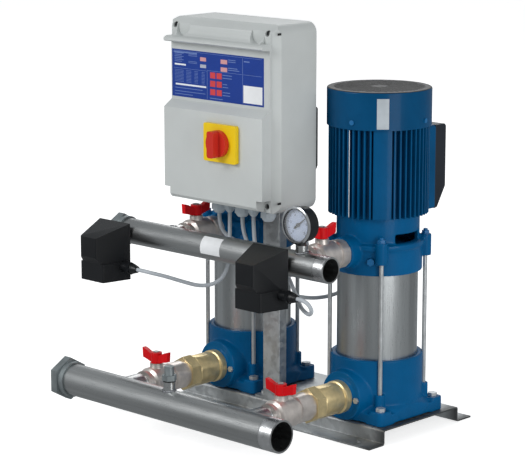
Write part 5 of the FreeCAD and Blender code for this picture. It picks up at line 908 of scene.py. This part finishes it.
def saddle_weld(pipe, stub, centre, axis, out):
    """Weld bead where a stub meets a pipe: the ring (stub*cos, stub*sin) lifted to the pipe's surface
    sqrt(pipe^2 - across^2), with a round bead about it whose size ripples along the ring."""
    angle = np.linspace(0, 2 * math.pi, 96, endpoint=False)
    around = np.linspace(0, 2 * math.pi, 8, endpoint=False)
    axis = np.array(axis, float)
    out = np.array(out, float)
    side = np.cross(axis, out)
    across = stub * np.sin(angle)
    rise = np.sqrt(np.maximum(pipe ** 2 - across ** 2, 1e-9))
    ring = (np.array(centre) + (stub * np.cos(angle))[:, None] * axis + across[:, None] * side
            + rise[:, None] * out)
    radial = np.cos(angle)[:, None] * axis + np.sin(angle)[:, None] * side
    bead = sizes().weld * (1 + 0.16 * np.sin(angle * 26))
    points = (ring[:, None, :] + (bead[:, None] * np.cos(around))[:, :, None] * radial[:, None, :]
              + (bead[:, None] * np.sin(around))[:, :, None] * out)
    return tidy_mesh(grid_mesh("weld", points, wrap_u=True, wrap_v=True), 80)


# Threads: where each starts along its pipe or nipple, its length, crest and pitch
SUCTION_THREAD_X = 0.231
SUCTION_THREAD_LONG = 0.0285
DISCHARGE_THREAD_X = 0.2235
DISCHARGE_THREAD_LONG = 0.0235
PIPE_CREST = 0.0003
NIPPLE_THREAD_Y = {"suction": -0.3197, "discharge": -0.2103}
NIPPLE_THREAD_LONG = 0.0103
NIPPLE_CREST = 0.0006
NIPPLE_PITCH = 0.0018


def make_pipework():
    """End caps of the headers, threads of their open ends and nipples, and welds of the sockets."""
    softened("header_end_caps", "manifold_caps", "cap_iron", EDGES["manifold_caps"])
    pitch = sizes().thread_pitch
    low_y, low_z, low_r = SUCTION_PIPE
    high_y, high_z, high_r = DISCHARGE_PIPE
    threads = [thread(low_r - PIPE_CREST, PIPE_CREST, (SUCTION_THREAD_X, low_y, low_z), X_AXIS,
                      SUCTION_THREAD_LONG, pitch, count=72),
               thread(high_r - PIPE_CREST, PIPE_CREST, (DISCHARGE_THREAD_X, high_y, high_z), X_AXIS,
                      DISCHARGE_THREAD_LONG, pitch, count=64)]
    welds = []
    for x in PUMPS.values():
        for kind, z in (("suction", low_z), ("discharge", high_z)):
            threads.append(thread(NIPPLE_R, NIPPLE_CREST, (x, NIPPLE_THREAD_Y[kind], z), Y_AXIS,
                                  NIPPLE_THREAD_LONG, NIPPLE_PITCH, count=40))
        welds.append(saddle_weld(low_r, SOCKET_R, (x, low_y, low_z), X_AXIS, Y_AXIS))
        welds.append(saddle_weld(high_r, SOCKET_R, (x, high_y, high_z), X_AXIS, Y_AXIS))
    plug_x, plug_r = PLUG_SOCKET
    gauge_x, gauge_r = GAUGE_SOCKET
    welds.append(saddle_weld(low_r, plug_r, (plug_x, low_y, low_z), X_AXIS, Z_AXIS))
    welds.append(saddle_weld(high_r, gauge_r, (gauge_x, high_y, high_z), X_AXIS, Z_AXIS))
    piece("pipe_threads", joined("pipe_threads", threads), "thread", "frame", "pipe_steel")
    piece("pipe_welds", joined("pipe_welds", welds), "weld", "frame", "pipe_steel")


BEZEL = [(0.0296, 0.0022), (0.0296, -0.00012), (0.0325, -0.00012), (0.03415, 0.0011), (0.03415, 0.0024),
         (0.0315, 0.0024), (0.0315, 0.0022)]
DIAL_START = -135
DIAL_SWEEP = 270
DIAL_TICKS = 50
TICKS_R = 0.0268
LONG_TICK = (0.0042, 0.0005)
SHORT_TICK = (0.0022, 0.00022)
TICK_LIFT = 0.00015
TICK_THICK = 0.0001
NUMBERS_R = 0.0185
NUMBERS_HIGH = 0.0062
NUMBERS_LIFT = 0.0002
BLADE_TIP = 0.021
BLADE_TAIL = 0.012
TIP_HALF = 0.0006
TAIL_HALF = 0.0014
BLADE_THICK = 0.0002


def flat_piece(name, corners, thick, finish, body, slot):
    """Four-sided plates from rows of four corners, made a sheet of one thickness."""
    points = np.array(corners).reshape(-1, 3)
    mesh = bpy.data.meshes.new(name)
    mesh.from_pydata(points.tolist(), [], np.arange(len(points)).reshape(-1, 4).tolist())
    made = piece(name, mesh, finish, body, slot)
    sheet = made.modifiers.new("sheet", "SOLIDIFY")
    sheet.thickness = thick
    sheet.offset = 0


def clock(degrees):
    """Directions out from the dial's centre and across, (sin, 0, cos) and (cos, 0, -sin) of each turn
    from straight up."""
    turn = np.radians(degrees)
    level = np.zeros_like(turn)
    return (np.stack([np.sin(turn), level, np.cos(turn)], axis=-1),
            np.stack([np.cos(turn), level, -np.sin(turn)], axis=-1))


def dial_number(text, out, centre):
    """A number of the dial as a flat mesh, upright, at a distance out from the centre."""
    word = bpy.data.curves.new("number", "FONT")
    word.body = text
    word.size = NUMBERS_HIGH
    word.align_x = "CENTER"
    word.align_y = "CENTER"
    word.extrude = 0.00005
    holder = bpy.data.objects.new("number", word)
    bpy.context.scene.collection.objects.link(holder)
    graph = bpy.context.evaluated_depsgraph_get()
    flat = bpy.data.meshes.new_from_object(holder.evaluated_get(graph))
    bpy.data.objects.remove(holder)
    lying = np.empty(len(flat.vertices) * 3)
    flat.vertices.foreach_get("co", lying)
    across, high, thick = lying.reshape(-1, 3).T
    upright = np.stack([across, -thick, high], axis=1)
    flat.vertices.foreach_set("co", (centre + NUMBERS_R * out + upright).ravel())
    return flat


def make_gauge():
    """The gauge's bright rim, the ticks and plain numbers of its dial, and the blade of its pointer."""
    x, y, z = GAUGE
    bezel = turned("gauge_bezel", BEZEL, GAUGE, Y_AXIS, count=72)
    piece("gauge_bezel", bezel, "chrome", "frame", "nickel")
    step = np.arange(DIAL_TICKS + 1)
    out, across = clock(DIAL_START + DIAL_SWEEP * step / DIAL_TICKS)
    fifth = (step % 5 == 0)[:, None]
    long = np.where(fifth, LONG_TICK[0], SHORT_TICK[0])
    wide = np.where(fifth, LONG_TICK[1], SHORT_TICK[1])
    centre = np.array([x, y + DIAL_DEPTH - TICK_LIFT, z])
    outer = centre + TICKS_R * out
    inner = centre + (TICKS_R - long) * out
    ticks = np.stack([outer + wide * across, outer - wide * across,
                      inner - wide * across, inner + wide * across], axis=1)
    flat_piece("dial_marks", ticks, TICK_THICK, "print_dark", "frame", "white_dial")
    out, across = clock(POINTER_LEAN)
    centre = np.array([x, y + POINTER_DEPTH, z])
    tip = centre + BLADE_TIP * out
    tail = centre - BLADE_TAIL * out
    blade = [tip + TIP_HALF * across, tip - TIP_HALF * across,
             tail - TAIL_HALF * across, tail + TAIL_HALF * across]
    flat_piece("pointer_blade", blade, BLADE_THICK, "pointer_black", "pointer", "pointer_black")
    centre = np.array([x, y + DIAL_DEPTH - NUMBERS_LIFT, z])
    numbers = [dial_number(str(2 * step), clock(DIAL_START + DIAL_SWEEP / 5 * step)[0], centre)
               for step in range(6)]
    piece("dial_numbers", joined("dial_numbers", numbers), "print_dark", "frame", "white_dial")


WASHER_BORE_R = 0.0042
WASHER_R = 0.0085
WASHER_SUNK = 0.0001


def make_frame_metal():
    """Base sheet, post, bolts and rods with rounded edges, and the washers under the rods' top nuts."""
    softened("base_sheet", "base_plate", "galvanised", sizes().metal_edge)
    softened("panel_post", "upright_post", "galvanised", sizes().metal_edge)
    softened("bolts_and_screws", "frame_bolts", "zinc", EDGES["frame_bolts"])
    softened("rods_and_nuts", "tie_rods", "zinc", EDGES["tie_rods"])
    top = sizes().washer * 0.7
    section = [(WASHER_BORE_R, -WASHER_SUNK), (WASHER_R, -WASHER_SUNK), (WASHER_R, top),
               (WASHER_BORE_R, top)]
    sides = (-ROD_REACH, ROD_REACH)
    washers = [turned("washer", section, (x + dx, PUMP_Y + dy, ROD_NUT_Z), Z_AXIS, count=32)
               for x in PUMPS.values() for dx in sides for dy in sides]
    piece("rod_washers", joined("rod_washers", washers), "zinc", "frame", "zinc")


# Operators

class BOOSTER_OT_stage(bpy.types.Operator):
    """Floor, world, lamps and camera"""
    bl_idname = "booster.stage"
    bl_label = "Stage"

    def execute(self, context):
        make_stage()
        return {"FINISHED"}


class BOOSTER_OT_finishes(bpy.types.Operator):
    """Paints, plastics and metals, and the CAD nodes that wear them"""
    bl_idname = "booster.finishes"
    bl_label = "Finishes"

    def execute(self, context):
        make_finishes()
        dress_nodes()
        return {"FINISHED"}


class BOOSTER_OT_cables(bpy.types.Operator):
    """Cables between the panel, the switches and the motors"""
    bl_idname = "booster.cables"
    bl_label = "Cables"

    def execute(self, context):
        make_cables()
        return {"FINISHED"}


class BOOSTER_OT_castings(bpy.types.Operator):
    """Foot and head castings of the pumps"""
    bl_idname = "booster.castings"
    bl_label = "Castings"

    def execute(self, context):
        make_castings()
        return {"FINISHED"}


class BOOSTER_OT_motors(bpy.types.Operator):
    """Motor frames and terminal boxes"""
    bl_idname = "booster.motors"
    bl_label = "Motors"

    def execute(self, context):
        make_motors()
        return {"FINISHED"}


class BOOSTER_OT_panel(bpy.types.Operator):
    """Control panel with its label, main switch and glands, the stickers of the set and a painted highlight
    on a fin
    """
    bl_idname = "booster.panel"
    bl_label = "Control panel"

    def execute(self, context):
        make_panel()
        make_label()
        make_stickers()
        return {"FINISHED"}


class BOOSTER_OT_switches(bpy.types.Operator):
    """Pressure switches"""
    bl_idname = "booster.switches"
    bl_label = "Pressure switches"

    def execute(self, context):
        make_switches()
        return {"FINISHED"}


class BOOSTER_OT_valves(bpy.types.Operator):
    """Ball valves and check valves"""
    bl_idname = "booster.valves"
    bl_label = "Valves"

    def execute(self, context):
        make_valves()
        return {"FINISHED"}


class BOOSTER_OT_pipework(bpy.types.Operator):
    """Threads, welds and caps of the header pipes"""
    bl_idname = "booster.pipework"
    bl_label = "Pipework"

    def execute(self, context):
        make_pipework()
        return {"FINISHED"}


class BOOSTER_OT_gauge(bpy.types.Operator):
    """Rim, dial print and pointer blade of the pressure gauge"""
    bl_idname = "booster.gauge"
    bl_label = "Gauge"

    def execute(self, context):
        make_gauge()
        return {"FINISHED"}


class BOOSTER_OT_frame_metal(bpy.types.Operator):
    """Base sheet, post, rods and bolts"""
    bl_idname = "booster.frame_metal"
    bl_label = "Base, post and bolts"

    def execute(self, context):
        make_frame_metal()
        return {"FINISHED"}


class BOOSTER_PT_panel(bpy.types.Panel):
    """Sizes, colours and pieces of the booster set"""
    bl_idname = "BOOSTER_PT_panel"
    bl_label = "Booster pump set"
    bl_space_type = "VIEW_3D"
    bl_region_type = "UI"
    bl_category = "Booster"

    def draw(self, context):
        for group in (context.scene.booster_sizes, context.scene.booster_colours):
            for name in group.__annotations__:
                self.layout.prop(group, name)
        for step in STEPS:
            self.layout.operator(step.bl_idname)


STEPS = (BOOSTER_OT_stage, BOOSTER_OT_finishes, BOOSTER_OT_cables, BOOSTER_OT_castings,
         BOOSTER_OT_motors, BOOSTER_OT_panel, BOOSTER_OT_switches, BOOSTER_OT_valves,
         BOOSTER_OT_pipework, BOOSTER_OT_gauge, BOOSTER_OT_frame_metal)
CLASSES = (BoosterColours, BoosterSizes, *STEPS, BOOSTER_PT_panel)


def register():
    for kind in CLASSES:
        bpy.utils.register_class(kind)
    bpy.types.Scene.booster_colours = bpy.props.PointerProperty(type=BoosterColours)
    bpy.types.Scene.booster_sizes = bpy.props.PointerProperty(type=BoosterSizes)


def unregister():
    del bpy.types.Scene.booster_sizes
    del bpy.types.Scene.booster_colours
    for kind in reversed(CLASSES):
        bpy.utils.unregister_class(kind)


def main():
    register()
    for step in STEPS:
        group, name = step.bl_idname.split(".")
        getattr(getattr(bpy.ops, group), name)()


if __name__ == "__main__":
    main()
